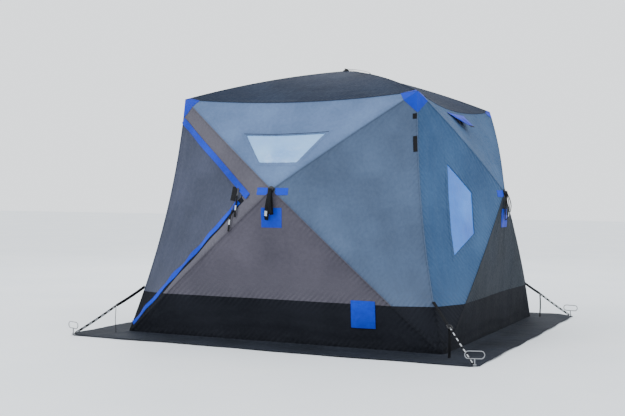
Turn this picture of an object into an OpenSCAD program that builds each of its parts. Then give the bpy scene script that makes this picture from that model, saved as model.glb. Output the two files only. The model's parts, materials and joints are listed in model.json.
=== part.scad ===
// Four-sided pop-up ice fishing shelter: fabric skin over five sprung hubs and twenty rods.
// +Z is up. The origin is on the ice, under the middle of the shelter. The front wall faces -Y.

/* [Canopy] */
// Half width across two neighbouring corners, measured at the ice
base_half = 1220; // [1150:10:1260]
// Half width across two neighbouring corners, measured at the eaves
eave_half = 924; // [880:4:980]
// Height of the eave corners
eave_h = 1751; // [1700:1:1800]
// Height of the middle of the roof
peak_h = 2030; // [1990:5:2060]
// How far a wall's middle stands from the shelter's axis
hub_out = 1294; // [1270:1:1310]
// Height of a wall's middle
hub_h = 1072; // [1040:1:1100]
// Thickness of the quilted skin
skin_t = 4; // [3:0.5:5]
// Height of the dark band round the foot of the walls
band_h = 310; // [250:10:360]

/* [Snow skirt] */
// Half width of the skirt
skirt_half = 1531; // [1480:1:1580]
// Thickness of the skirt
skirt_t = 4; // [3:0.5:5]
// Distance of each grommet from the shelter's axis, along X and along Y
grommet_at = 1506; // [1440:1:1512]

/* [Frame] */
// Radius of a glass-fibre rod
rod_r = 5.5; // [4.5:0.5:6]
// Outer radius of a rod's metal sleeve
sleeve_r = 7; // [6.5:0.5:7.5]
// Length of a rod's metal sleeve
sleeve_len = 60; // [40:5:80]
// Radius of the pole star of a wall hub
hub_r = 68; // [64:1:74]
// Radius of the pole star of the roof hub
roof_hub_r = 86; // [82:1:92]

/* [Door] */
// Height of the upper end of the door's zip
door_top = 1575; // [1500:5:1600]
// Distance of the door's point from the middle of the front wall
door_tip_x = 235; // [200:5:280]
// Height of the door's point
door_tip_z = 1035; // [1000:5:1060]
// Height of the lower end of the door's zip
door_low = 75; // [60:5:120]

/* [Windows and vents] */
// Long side of a window pane
pane_long = 670; // [600:10:680]
// Short side of a window pane
pane_short = 300; // [260:10:320]
// Height of a window pane between its two parallel sides
pane_tall = 268; // [240:4:276]
// Width of a vent hood
vent_w = 400; // [340:10:440]
// How far a vent hood stands open
vent_open = 34; // [28:1:38]

/* [Anchors] */
// Width of an anchor's handle
handle_w = 120; // [100:5:140]
// Height of an anchor's handle
handle_h = 46; // [40:2:56]
// Radius of an anchor's wire
wire_r = 4; // [3.5:0.5:4.5]

/* [Hidden] */
$fn = 40;

skin_gap = 3;        // half of a seam between two flat panels
edge_gap = 9;        // how far a panel stays back from an outside edge
tip_cut = 48;        // how far a panel stays back from its hub
hub_in = 32;         // depth of a wall hub's rods under the skin
roof_hub_in = 34;    // depth of the roof hub's rods under the skin
rod_tip = 60;        // where a rod ends, from its wall hub's axis
roof_rod_tip = 78;   // where a rod ends, from the roof hub's axis
rod_back = 30;       // where a rod ends, from its corner
lean = atan((base_half - eave_half) / eave_h);

// Skin corners of the front wall, seen from outside
TL = [-eave_half, -eave_half, eave_h];
TR = [eave_half, -eave_half, eave_h];
BL = [-base_half, -base_half, 0];
BR = [base_half, -base_half, 0];
HB = [0, -hub_out, hub_h];
PK = [0, 0, peak_h];
wall_n = [0, -cos(lean), sin(lean)];

// The lines that the rods swing about run through these points, just inside the corners
function rod_top(sx) = [sx * (eave_half - 19), -(eave_half - 19), eave_h - 16];
function rod_foot(sx) = [sx * (base_half - 22), -(base_half - 22), 30];
rod_hub = HB - wall_n * hub_in;
roof_rod_hub = PK - [0, 0, roof_hub_in];

function unit(v) = v / norm(v);
function mix(a, b, t) = a + (b - a) * t;
function toward(a, b, d) = a + unit(b - a) * d;
function at_height(a, b, z) = mix(a, b, (z - a[2]) / (b[2] - a[2]));
function facing(p) = unit(cross(p[1] - p[0], p[2] - p[0]));
// The point of a flat panel above a given X and Z
function on_panel(p, x, z) = let (n = facing(p))
  [x, p[0][1] - (n[0] * (x - p[0][0]) + n[2] * (z - p[0][2])) / n[1], z];
// A convex outline with each side moved in by its own distance; side i runs from point i to the next
function inset(p, d) = let (k = len(p), n = facing(p),
  m = [for (i = [0:k - 1]) cross(n, unit(p[(i + 1) % k] - p[i]))])
  [for (i = [0:k - 1]) let (a = m[(i + k - 1) % k], b = m[i], da = d[(i + k - 1) % k], db = d[i], c = a * b)
    p[i] + a * ((da - c * db) / (1 - c * c)) + b * ((db - c * da) / (1 - c * c))];

// A flat plate under a convex outline, its outer face raised by up
module plate(p, t = skin_t, up = 0) {
  n = facing(p);
  k = len(p);
  polyhedron(
    points = concat([for (q = p) q + n * up], [for (q = p) q + n * (up - t)]),
    faces = concat([[for (i = [k - 1:-1:0]) i]], [[for (i = [0:k - 1]) i + k]],
      [for (i = [0:k - 1]) [i, (i + 1) % k, (i + 1) % k + k, i + k]]));
}

// A straight flat strap from a to b, w wide along side, t thick
module strap(a, b, side, w, t) {
  s = unit(side - unit(b - a) * (side * unit(b - a)));
  plate([a - s * w / 2, b - s * w / 2, b + s * w / 2, a + s * w / 2], t, t / 2);
}

// Turns local Z to a direction, keeping local X level
module aim(at, dir) {
  d = unit(dir);
  translate(at) rotate([0, acos(d[2]), atan2(d[1], d[0])]) children();
}

module side(k) { rotate([0, 0, 90 * k]) children(); }

// Outlines of one wall's panels, seen from outside, in the front wall's place
top_panel = [TL, toward(HB, TL, tip_cut), toward(HB, TR, tip_cut), TR];
left_panel = [TL, at_height(TL, BL, band_h), at_height(BL, HB, band_h), toward(HB, BL, tip_cut), toward(HB, TL, tip_cut)];
right_panel = [TR, toward(HB, TR, tip_cut), toward(HB, BR, tip_cut), at_height(BR, HB, band_h), at_height(TR, BR, band_h)];
low_panel = [at_height(BL, HB, band_h), at_height(BR, HB, band_h), toward(HB, BR, tip_cut), toward(HB, BL, tip_cut)];
left_band = [at_height(TL, BL, band_h), BL, at_height(BL, HB, band_h)];
right_band = [at_height(TR, BR, band_h), at_height(BR, HB, band_h), BR];
low_band = [BL, BR, at_height(BR, HB, band_h), at_height(BL, HB, band_h)];
s = skin_gap;
e = edge_gap;

// Window outlines: on the top panel, and on the left panel with the long side along the corner
pane_z = 1485;
pane_top = [for (q = [[-pane_long / 2, 0], [-pane_short / 2, -1], [pane_short / 2, -1], [pane_long / 2, 0]])
  on_panel([TL, HB, TR], q[0], pane_z + q[1] * (pane_tall - 36))];
pane_a = [-715, 1281];
pane_b = [-849, 611];
pane_side = [for (q = [pane_a, pane_b, [-537, 769], [-468, 1066]]) on_panel([TL, BL, HB], q[0], q[1])];

module wall_top(window) {
  difference() {
    plate(inset(top_panel, [s, 0, s, e]));
    if (window) plate(inset(pane_top, [12, 12, 12, 12]), 30, 10);
    else plate(inset(vent_hole, [10, 10, 10, 10]), 30, 10);
  }
}
module wall_left(window) {
  difference() {
    plate(inset(left_panel, [e, s, s, 0, s]));
    if (window) plate(inset(pane_side, [12, 12, 12, 12]), 30, 10);
  }
}
module wall_right() { plate(inset(right_panel, [s, 0, s, s, e])); }
module wall_low() { plate(inset(low_panel, [s, s, 0, s])); }
module band_left() { plate(inset(left_band, [e, s, s])); }
module band_right() { plate(inset(right_band, [s, s, e])); }
module band_low() { plate(inset(low_band, [0, s, s, s])); }

// Door outline on the front wall's left panel
function door_pt(x, z) = on_panel([TL, BL, HB], x, z);
door_a = at_height(TL, BL, door_top);
door_b = door_pt(-door_tip_x, door_tip_z);
door_c = at_height(TL, BL, door_low);

module roof_canopy() color([0.19, 0.25, 0.34])
  for (k = [0:3]) side(k) plate(inset([TL, TR, toward(PK, TR, tip_cut), toward(PK, TL, tip_cut)], [e, s, 0, s]));

module front_wall() color([0.38, 0.42, 0.5]) {
  wall_top(true);
  wall_right();
  wall_low();
  plate(inset([TL, door_a, door_b, toward(HB, door_b, tip_cut), toward(HB, TL, tip_cut)], [e, s, s, 0, s]));
  plate(inset([door_c, BL, toward(HB, BL, tip_cut), toward(HB, door_b, tip_cut), door_b], [e, s, 0, s, s]));
}
module right_wall() color([0.24, 0.36, 0.5]) side(1) { wall_top(false); wall_left(true); wall_right(); wall_low(); }
module back_wall() color([0.38, 0.42, 0.5]) side(2) { wall_top(true); wall_left(false); wall_right(); wall_low(); }
module left_wall() color([0.24, 0.36, 0.5]) side(3) { wall_top(false); wall_left(true); wall_right(); wall_low(); }

module lower_band() color([0.08, 0.08, 0.1]) for (k = [0:3]) side(k) {
  if (k > 0) band_left();
  band_right();
  band_low();
}

// Four mitred strips lying on the ice, each with half of the hole at both of its ends
module snow_skirt() color([0.1, 0.13, 0.18]) for (k = [0:3]) side(k) difference() {
  linear_extrude(skirt_t) polygon([[-skirt_half + 1, -skirt_half], [skirt_half - 1, -skirt_half],
    [base_half + 1.5, -base_half - 1.5], [-base_half - 1.5, -base_half - 1.5]]);
  for (sx = [-1, 1]) translate([sx * grommet_at, -grommet_at, -1]) cylinder(r = 9, h = skirt_t + 2);
}

// A stitched webbing gusset inside each eave corner, which the rod ends bear on
module corner_pockets() color([0.1, 0.1, 0.11]) for (k = [0:3]) side(k) {
  c = TR - [15, -15, 14];
  g = unit([1, -1, 0.9]);
  u = unit([1, 1, 0]);
  v = cross(g, u);
  aim(c - g * 12, g) cylinder(r = 15, h = 4);
}
module foot_pockets() color([0.1, 0.1, 0.11]) for (k = [0:3]) side(k)
  linear_extrude(4) polygon([[base_half - 16, -base_half + 16], [base_half - 16, -base_half + 130], [base_half - 50, -base_half + 130], [base_half - 130, -base_half + 50], [base_half - 130, -base_half + 16]]);

// Bright gussets sewn over the eave corners: one piece on each wall's two ends and one on the roof's
module corner_caps() color([0.15, 0.4, 0.85]) for (k = [0:3]) side(k) {
  for (q = [[TL, toward(TL, BL, 105), toward(TL, HB, 150)], [TL, toward(TL, HB, 150), toward(TL, TR, 125)],
            [TR, toward(TR, TL, 125), toward(TR, HB, 150)], [TR, toward(TR, HB, 150), toward(TR, BR, 105)],
            [TL, toward(TL, TR, 125), toward(TL, PK, 150)], [TR, toward(TR, PK, 150), toward(TR, TL, 125)]])
    plate(inset(q, [5, 5, 5]), 1.5, 1.9);
}

module window_panes() color([0.62, 0.78, 0.9]) {
  for (k = [0, 2]) side(k) plate(pane_top, 1, -skin_t - 0.4);
  for (k = [1, 3]) side(k) plate(pane_side, 1, -skin_t - 0.4);
}

// A vent: a hooded opening under the eave, screened on the inside
vent_u = unit((HB - TL) - (TR - TL) * (((HB - TL) * (TR - TL)) / ((TR - TL) * (TR - TL))));
vent_at = mix(TL, TR, 0.46) + vent_u * 42;
vent_hole = [for (q = [[-130, 14], [-45, 112], [45, 112], [130, 14]]) vent_at + [q[0], 0, 0] + vent_u * q[1]];
module vent_screens() color([0.07, 0.07, 0.08]) for (k = [1, 3]) side(k) plate(vent_hole, 1, -skin_t - 0.4);
module vent_hood() {
  x = [1, 0, 0];
  n = facing([TL, HB, TR]);
  a = vent_at + n * 6;
  d = vent_u * cos(vent_open) + n * sin(vent_open);
  c = a + d * 128;
  color([0.15, 0.4, 0.85]) {
    plate([a - x * vent_w / 2, c - x * 45, c + x * 45, a + x * vent_w / 2], 3, 3);
  }
}

// Hook-and-loop patches that hold the rolled door, near the front-right corner and by the door's point
module touch_tapes() color([0.05, 0.05, 0.06]) {
  for (q = [[878, 1440, 30, 105], [860, 1575, 28, 32]]) for (k = [0, 1]) side(k) mirror([k, 0, 0]) {
    p = on_panel([TR, HB, BR], q[0] + (k == 0 ? 60 : 75), q[1]);
    d = unit(BR - TR);
    w = cross(facing([TR, HB, BR]), d);
    plate([p - w * q[2] / 2, p + d * q[3] - w * q[2] / 2, p + d * q[3] + w * q[2] / 2, p + w * q[2] / 2], 1.5, 1.9);
  }
}

// Bright patch and reflective strip at each wall's middle
module hub_patches() for (k = [0:3]) side(k) {
  color([0.15, 0.4, 0.85]) plate([for (q = [[-78, 945], [-78, 808], [78, 808], [78, 945]]) on_panel([BL, BR, HB], q[0], q[1])], 1.5, 1.9);
}

// Taut webbing from each corner down to its anchor, with a short upright leg to the skirt
guy_b = [grommet_at - 10, -grommet_at + 10, 14];
module guy_straps() color([0.06, 0.06, 0.07]) for (k = [0:3]) side(k) {
  out = unit([1, -1, 0]);
  a = at_height(TR, BR, 342) + out * 9;
  m = mix(a, guy_b, 0.42);
  strap(a, mix(a, guy_b, 0.388), [1, 1, 0], 25, 2);
  strap(mix(a, guy_b, 0.452), guy_b, [1, 1, 0], 20, 2);
  strap(m - [0, 0, 12], [m[0], m[1], skirt_t + 0.6], [1, 1, 0], 20, 2);
}
module strap_buckles() color([0.1, 0.1, 0.11]) for (k = [0:3]) side(k) {
  out = unit([1, -1, 0]);
  a = at_height(TR, BR, 342) + out * 9;
  d = unit(guy_b - a);
  m = mix(a, guy_b, 0.42);
  strap(m - d * 15, m + d * 15, [1, 1, 0], 32, 6);
}

// Eyelets at the skirt's corners
module skirt_grommets() color([0.72, 0.73, 0.75]) { strap_rings(); eyelets(); }
module eyelets() for (k = [0:3]) side(k)
  translate([grommet_at, -grommet_at, 0]) rotate_extrude()
    polygon([[6.6, 0], [8.6, 0], [8.6, skirt_t + 0.2], [14, skirt_t + 0.2], [14, skirt_t + 1.4], [6.6, skirt_t + 1.4]]);
// Rings round the anchors' shanks that the straps end in
module strap_rings() for (k = [0:3]) side(k)
  translate([grommet_at, -grommet_at, 13]) rotate_extrude() translate([9.5, 0]) circle(r = 2);

// A hub: a pole star on a stem that comes out through the skin to a cap with a bail for its strap
module hub(r, depth) {
  translate([0, 0, -32]) cylinder(r = r, h = 4);
  for (a = [0:90:270]) rotate([0, 0, a]) translate([r - 8, 0, -28.5]) cylinder(r = 4, h = 30);
  translate([0, 0, -32]) cylinder(r = 11, h = depth + 37);
  translate([0, 0, 11]) cylinder(r = 20, h = 4);
  translate([0, 0, depth + 1]) cylinder(r = 24, h = 5);
  // two lugs for the strap's pin
  for (sx = [-1, 1]) translate([sx * 16 - 2, -7, depth + 5.5]) cube([4, 14, 14]);
  translate([-18, 0, depth + 13]) rotate([0, 90, 0]) cylinder(r = 2.5, h = 36);
}
module wall_hub(k) color([0.66, 0.67, 0.69]) side(k) translate(rod_hub) rotate([90 - lean, 0, 0]) hub(hub_r, hub_in);
module top_hub() color([0.66, 0.67, 0.69]) translate(roof_rod_hub) rotate([0, 0, 90]) hub(roof_hub_r, roof_hub_in);

// Pull strap: webbing folded over the hub's pin and sewn together, hanging from its loop
pin_at = rod_hub + wall_n * (hub_in + 13);
module pull_strap() {
  difference() {
    union() {
      translate([-12.5, 0, 0]) rotate([0, 90, 0]) cylinder(r = 6, h = 25);
      translate([-12.5, -6, -215]) cube([25, 5, 215]);
    }
    translate([-20, 0, 0]) rotate([0, 90, 0]) cylinder(r = 2.55, h = 40);
  }
}
module wall_strap(k) color([0.05, 0.05, 0.06]) side(k) translate(pin_at) pull_strap();
module top_strap() color([0.05, 0.05, 0.06]) translate(roof_rod_hub + [0, 0, roof_hub_in + 13])
  rotate([0, -77, 0]) rotate([0, 0, 90]) pull_strap();

// One glass-fibre rod and its two metal sleeves
module rod(from, to) aim(from, to - from) cylinder(r = rod_r, h = norm(to - from));
module sleeves(from, to) aim(from, to - from) for (z = [-6, norm(to - from) - sleeve_len + 6]) difference() {
  translate([0, 0, z]) cylinder(r = sleeve_r, h = sleeve_len);
  translate([0, 0, 0]) cylinder(r = rod_r + 0.05, h = norm(to - from));
}
function rod_a(corner, hub) = toward(corner, hub, rod_back);
function rod_b(corner, hub, tip) = toward(hub, corner, tip);

module wall_rods(k, sx) color([0.12, 0.12, 0.13]) side(k)
  for (c = [rod_top(sx), rod_foot(sx)]) rod(rod_a(c, rod_hub), rod_b(c, rod_hub, rod_tip));
module wall_sleeves(k, sx) color([0.75, 0.76, 0.78]) side(k)
  for (c = [rod_top(sx), rod_foot(sx)]) sleeves(rod_a(c, rod_hub), rod_b(c, rod_hub, rod_tip));
function roof_corner(sx, sy) = [rod_top(sx)[0], sy * rod_top(1)[0], rod_top(1)[2]];
module roof_rods(sx) color([0.12, 0.12, 0.13])
  for (sy = [-1, 1]) rod(rod_a(roof_corner(sx, sy), roof_rod_hub), rod_b(roof_corner(sx, sy), roof_rod_hub, roof_rod_tip));
module roof_sleeves(sx) color([0.75, 0.76, 0.78])
  for (sy = [-1, 1]) sleeves(rod_a(roof_corner(sx, sy), roof_rod_hub), rod_b(roof_corner(sx, sy), roof_rod_hub, roof_rod_tip));

// Door: the triangle of skin inside the zip, and the zip's chain along its two free sides
door_gap = 12;
module door_panel() color([0.35, 0.33, 0.35]) plate(inset([door_a, door_c, door_b], [e + 4, door_gap, door_gap]));
module door_zip() color([0.05, 0.05, 0.06]) {
  d = inset([door_a, door_c, door_b], [e + 4, door_gap, door_gap]);
  z = inset([door_a, door_c, door_b], [e + 4, 5, 5]);
  n = facing([door_a, door_c, door_b]);
  for (q = [[0, 2], [1, 2]]) {
    u = unit(d[q[1]] - d[q[0]]);
    strap(z[q[0]] + u * 6 - n * 1.5, z[q[1]] - u * 24 - n * 1.5, cross(n, u), 5, 2.4);
  }
}
// A slider astride the chain, with its tab and a webbing pull hanging from it
module zip_slider(p, u) {
  n = facing([door_a, door_c, door_b]);
  w = cross(n, u);
  strap(p - u * 15 + n * 2, p + u * 15 + n * 2, w, 11, 3.6);
  d = unit([0, 0, -1] + n * n[2]);
  strap(p + n * 4.8, p + n * 4.8 + d * 46, cross(n, d), 9, 2);
  strap(p + n * 4.8 + d * 45.5, p + n * 4.8 + d * 200, cross(n, d), 16, 2);
}
zip_corner = inset([door_a, door_c, door_b], [e + 4, 5, 5]);
module upper_zip_slider() color([0.05, 0.05, 0.06]) {
  u = unit(zip_corner[0] - zip_corner[2]);
  zip_slider(zip_corner[2] + u * 60, u);
}
module lower_zip_slider() color([0.05, 0.05, 0.06]) {
  u = unit(zip_corner[1] - zip_corner[2]);
  zip_slider(zip_corner[2] + u * 95, u);
}

// Flap over the cord port in the front band
module cord_port_flap() color([0.15, 0.4, 0.85])
  plate([for (q = [[583, 334], [583, 153], [755, 153], [755, 334]]) on_panel([BL, BR, HB], q[0], q[1])], 2.5, 5);

handle_z = 50;
// Ice anchor: a steel wire screw with a flat loop for a handle, cut off at the ice
module anchor(turn) color([0.7, 0.71, 0.73]) rotate([0, 0, turn]) {
  cylinder(r1 = 1, r2 = wire_r, h = 10);
  translate([0, 0, 10]) cylinder(r = wire_r, h = handle_z - 10);
  b = handle_h / 2;
  a = handle_w / 2 - b;
  translate([0, 0, handle_z + b]) rotate([90, 0, 0]) {
    for (sy = [-1, 1]) translate([-a, sy * b, 0]) rotate([0, 90, 0]) cylinder(r = wire_r * 0.8, h = 2 * a);
    translate([a, 0, 0]) rotate([0, 0, -90]) rotate_extrude(angle = 180) translate([b, 0]) circle(r = wire_r * 0.8);
    translate([-a, 0, 0]) rotate([0, 0, 90]) rotate_extrude(angle = 180) translate([b, 0]) circle(r = wire_r * 0.8);
  }
}
module anchor_at(sx, sy, turn) translate([sx * grommet_at, sy * grommet_at, 0]) anchor(turn);

roof_canopy();
front_wall();
right_wall();
back_wall();
left_wall();
lower_band();
snow_skirt();
corner_pockets();
foot_pockets();
corner_caps();
window_panes();
vent_screens();
touch_tapes();
hub_patches();
guy_straps();
strap_buckles();
skirt_grommets();
wall_hub(0);  // front_hub
wall_hub(1);  // right_hub
wall_hub(2);  // back_hub
wall_hub(3);  // left_hub
top_hub();  // roof_hub
wall_strap(0);  // front_pull_strap
wall_strap(1);  // right_pull_strap
wall_strap(2);  // back_pull_strap
wall_strap(3);  // left_pull_strap
top_strap();  // roof_pull_strap
wall_rods(0, -1);  // front_rods_left
wall_rods(0, 1);  // front_rods_right
wall_rods(1, -1);  // right_rods_left
wall_rods(1, 1);  // right_rods_right
wall_rods(2, -1);  // back_rods_left
wall_rods(2, 1);  // back_rods_right
wall_rods(3, -1);  // left_rods_left
wall_rods(3, 1);  // left_rods_right
roof_rods(-1);  // roof_rods_left
roof_rods(1);  // roof_rods_right
wall_sleeves(0, -1);  // front_sleeves_left
wall_sleeves(0, 1);  // front_sleeves_right
wall_sleeves(1, -1);  // right_sleeves_left
wall_sleeves(1, 1);  // right_sleeves_right
wall_sleeves(2, -1);  // back_sleeves_left
wall_sleeves(2, 1);  // back_sleeves_right
wall_sleeves(3, -1);  // left_sleeves_left
wall_sleeves(3, 1);  // left_sleeves_right
roof_sleeves(-1);  // roof_sleeves_left
roof_sleeves(1);  // roof_sleeves_right
door_panel();
door_zip();
upper_zip_slider();
lower_zip_slider();
side(1) vent_hood();  // right_vent_hood
side(3) vent_hood();  // left_vent_hood
cord_port_flap();
anchor_at(-1, -1, -20);  // anchor_front_left
anchor_at(1, -1, 20);  // anchor_front_right
anchor_at(1, 1, -8);  // anchor_back_right
anchor_at(-1, 1, 8);  // anchor_back_left
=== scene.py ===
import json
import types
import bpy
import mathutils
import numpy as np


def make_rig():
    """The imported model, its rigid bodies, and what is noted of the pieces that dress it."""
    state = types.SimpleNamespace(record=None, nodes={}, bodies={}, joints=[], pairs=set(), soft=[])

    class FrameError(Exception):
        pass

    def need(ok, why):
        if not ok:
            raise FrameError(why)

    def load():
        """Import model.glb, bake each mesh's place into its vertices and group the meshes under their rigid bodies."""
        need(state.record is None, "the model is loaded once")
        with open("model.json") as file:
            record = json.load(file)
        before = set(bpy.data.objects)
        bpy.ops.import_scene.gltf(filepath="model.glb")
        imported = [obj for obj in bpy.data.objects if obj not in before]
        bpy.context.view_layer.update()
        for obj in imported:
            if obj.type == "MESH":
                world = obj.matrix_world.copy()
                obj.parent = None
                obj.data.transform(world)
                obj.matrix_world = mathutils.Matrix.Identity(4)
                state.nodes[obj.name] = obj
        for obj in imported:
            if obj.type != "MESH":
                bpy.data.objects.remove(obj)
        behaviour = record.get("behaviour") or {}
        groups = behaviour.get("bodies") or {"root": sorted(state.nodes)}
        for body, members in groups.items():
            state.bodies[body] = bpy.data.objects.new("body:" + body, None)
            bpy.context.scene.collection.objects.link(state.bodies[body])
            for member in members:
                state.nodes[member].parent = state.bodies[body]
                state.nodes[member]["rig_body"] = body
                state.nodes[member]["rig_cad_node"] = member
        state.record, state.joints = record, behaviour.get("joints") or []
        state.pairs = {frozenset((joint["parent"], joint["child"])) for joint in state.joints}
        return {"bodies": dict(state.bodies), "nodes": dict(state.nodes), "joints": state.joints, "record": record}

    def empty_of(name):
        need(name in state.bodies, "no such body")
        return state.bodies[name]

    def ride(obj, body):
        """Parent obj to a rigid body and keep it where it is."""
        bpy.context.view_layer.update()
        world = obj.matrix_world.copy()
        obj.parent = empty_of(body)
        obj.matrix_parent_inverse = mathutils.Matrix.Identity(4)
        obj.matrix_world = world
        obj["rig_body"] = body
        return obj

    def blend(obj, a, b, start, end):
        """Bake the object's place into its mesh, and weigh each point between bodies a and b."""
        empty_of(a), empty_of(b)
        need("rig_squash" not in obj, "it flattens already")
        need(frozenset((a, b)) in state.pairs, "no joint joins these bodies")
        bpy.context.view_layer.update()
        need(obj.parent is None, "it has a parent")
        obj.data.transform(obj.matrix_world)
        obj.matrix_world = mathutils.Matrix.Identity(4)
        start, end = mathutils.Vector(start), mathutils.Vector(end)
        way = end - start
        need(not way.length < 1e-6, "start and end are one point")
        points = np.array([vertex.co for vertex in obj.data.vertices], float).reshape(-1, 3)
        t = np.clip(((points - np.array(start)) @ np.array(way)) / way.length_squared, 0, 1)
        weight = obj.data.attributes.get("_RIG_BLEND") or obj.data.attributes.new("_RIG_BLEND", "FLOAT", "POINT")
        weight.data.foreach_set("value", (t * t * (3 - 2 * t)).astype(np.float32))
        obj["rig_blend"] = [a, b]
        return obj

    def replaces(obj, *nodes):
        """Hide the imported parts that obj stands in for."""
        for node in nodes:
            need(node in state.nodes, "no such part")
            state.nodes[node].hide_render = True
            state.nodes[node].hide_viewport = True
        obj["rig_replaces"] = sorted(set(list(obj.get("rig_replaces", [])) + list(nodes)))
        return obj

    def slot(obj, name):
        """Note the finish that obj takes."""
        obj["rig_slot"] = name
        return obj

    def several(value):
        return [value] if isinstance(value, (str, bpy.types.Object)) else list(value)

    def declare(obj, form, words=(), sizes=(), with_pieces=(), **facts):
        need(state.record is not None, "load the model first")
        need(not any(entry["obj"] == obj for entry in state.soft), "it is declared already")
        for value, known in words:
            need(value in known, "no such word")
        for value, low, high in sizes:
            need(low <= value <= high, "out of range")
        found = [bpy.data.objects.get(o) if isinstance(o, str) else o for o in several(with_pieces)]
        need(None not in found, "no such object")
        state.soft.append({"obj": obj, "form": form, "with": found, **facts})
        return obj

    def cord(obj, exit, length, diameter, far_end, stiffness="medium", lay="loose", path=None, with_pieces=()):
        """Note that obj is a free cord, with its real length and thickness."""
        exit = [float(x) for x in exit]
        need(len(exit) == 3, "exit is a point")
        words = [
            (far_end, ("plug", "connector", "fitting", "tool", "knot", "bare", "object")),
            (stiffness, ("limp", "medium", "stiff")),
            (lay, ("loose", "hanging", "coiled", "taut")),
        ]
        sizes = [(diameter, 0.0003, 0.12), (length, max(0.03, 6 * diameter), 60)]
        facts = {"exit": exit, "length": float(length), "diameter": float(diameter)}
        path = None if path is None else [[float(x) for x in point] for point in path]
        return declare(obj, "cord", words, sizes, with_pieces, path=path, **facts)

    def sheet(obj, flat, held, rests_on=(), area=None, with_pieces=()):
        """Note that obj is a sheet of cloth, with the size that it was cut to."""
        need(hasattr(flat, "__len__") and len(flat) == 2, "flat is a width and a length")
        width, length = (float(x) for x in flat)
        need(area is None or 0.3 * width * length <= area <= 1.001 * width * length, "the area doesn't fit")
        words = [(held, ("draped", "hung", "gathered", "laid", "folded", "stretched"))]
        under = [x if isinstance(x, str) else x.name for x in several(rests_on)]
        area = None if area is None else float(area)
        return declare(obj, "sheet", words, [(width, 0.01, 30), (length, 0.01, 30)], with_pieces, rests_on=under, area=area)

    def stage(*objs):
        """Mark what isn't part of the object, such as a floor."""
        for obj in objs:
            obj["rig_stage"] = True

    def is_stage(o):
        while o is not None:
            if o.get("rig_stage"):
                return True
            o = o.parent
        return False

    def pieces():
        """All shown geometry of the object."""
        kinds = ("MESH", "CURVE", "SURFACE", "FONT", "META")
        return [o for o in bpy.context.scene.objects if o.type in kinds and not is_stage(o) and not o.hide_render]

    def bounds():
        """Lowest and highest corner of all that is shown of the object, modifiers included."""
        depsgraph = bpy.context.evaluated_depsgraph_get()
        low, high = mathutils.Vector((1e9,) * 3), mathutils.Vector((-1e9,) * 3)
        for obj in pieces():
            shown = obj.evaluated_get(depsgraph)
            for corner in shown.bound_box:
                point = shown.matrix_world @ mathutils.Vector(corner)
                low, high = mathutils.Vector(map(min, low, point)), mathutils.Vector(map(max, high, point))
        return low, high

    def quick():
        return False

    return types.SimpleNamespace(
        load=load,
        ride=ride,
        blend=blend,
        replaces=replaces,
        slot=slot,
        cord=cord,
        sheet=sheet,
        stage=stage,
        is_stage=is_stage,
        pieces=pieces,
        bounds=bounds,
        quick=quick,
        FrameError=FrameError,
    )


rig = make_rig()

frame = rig.load()

import json
import math

import bpy
import numpy as np
from mathutils import Matrix, Vector
from mathutils.geometry import delaunay_2d_cdt

cad_box = [list(p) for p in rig.bounds()]
nodes = frame["nodes"]

# ---------------------------------------------------------------- measures, in metres
EAVE, BASE, EAVE_H, PEAK_H = 0.924, 1.220, 1.751, 2.030
HUB_OUT, HUB_H, BAND_H = 1.294, 1.072, 0.310
TL = np.array([-EAVE, -EAVE, EAVE_H])
TR = np.array([EAVE, -EAVE, EAVE_H])
BL = np.array([-BASE, -BASE, 0.002])
BR = np.array([BASE, -BASE, 0.002])
HB = np.array([0.0, -HUB_OUT, HUB_H])
PK = np.array([0.0, 0.0, PEAK_H])
LEAN = math.atan2(BASE - EAVE, EAVE_H)
WALL_N = np.array([0.0, -math.cos(LEAN), math.sin(LEAN)])
WALLS = ["front", "right", "back", "left"]


def rot(k):
    c, s = [(1, 0), (0, 1), (-1, 0), (0, -1)][k % 4]
    return np.array([[c, -s, 0], [s, c, 0], [0, 0, 1.0]])


def unit(v):
    v = np.asarray(v, float)
    return v / np.linalg.norm(v)


def mix(a, b, t):
    return a + (b - a) * t


def at_height(a, b, z):
    return mix(a, b, (z - a[2]) / (b[2] - a[2]))


def smooth(t):
    t = np.clip(t, 0, 1)
    return t * t * (3 - 2 * t)


# How the pull of the cloth bends the edges: corner edges bow in, eaves hang, seams over the rods bow out
CORNER_BOW = [0.056, 0.066, 0.066, 0.066]
CORNER_EXTRA = [(-0.030, 0.004, 0), (0, 0, 0), (0, 0, 0), (0, 0, 0)]
EAVE_SAG = [0.046, 0.066, 0.05, 0.055]
EAVE_IN = [0.018, 0.022, 0.02, 0.02]
SEAM_BOW, ROOF_BOW = 0.020, 0.030


def corner_vec(c):
    return rot(c) @ (np.array([-0.7071, 0.7071, 0.0]) * CORNER_BOW[c % 4]) + np.array(CORNER_EXTRA[c % 4])


def eave_vec(k):
    return rot(k) @ np.array([0.0, EAVE_IN[k], -EAVE_SAG[k]])


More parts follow.
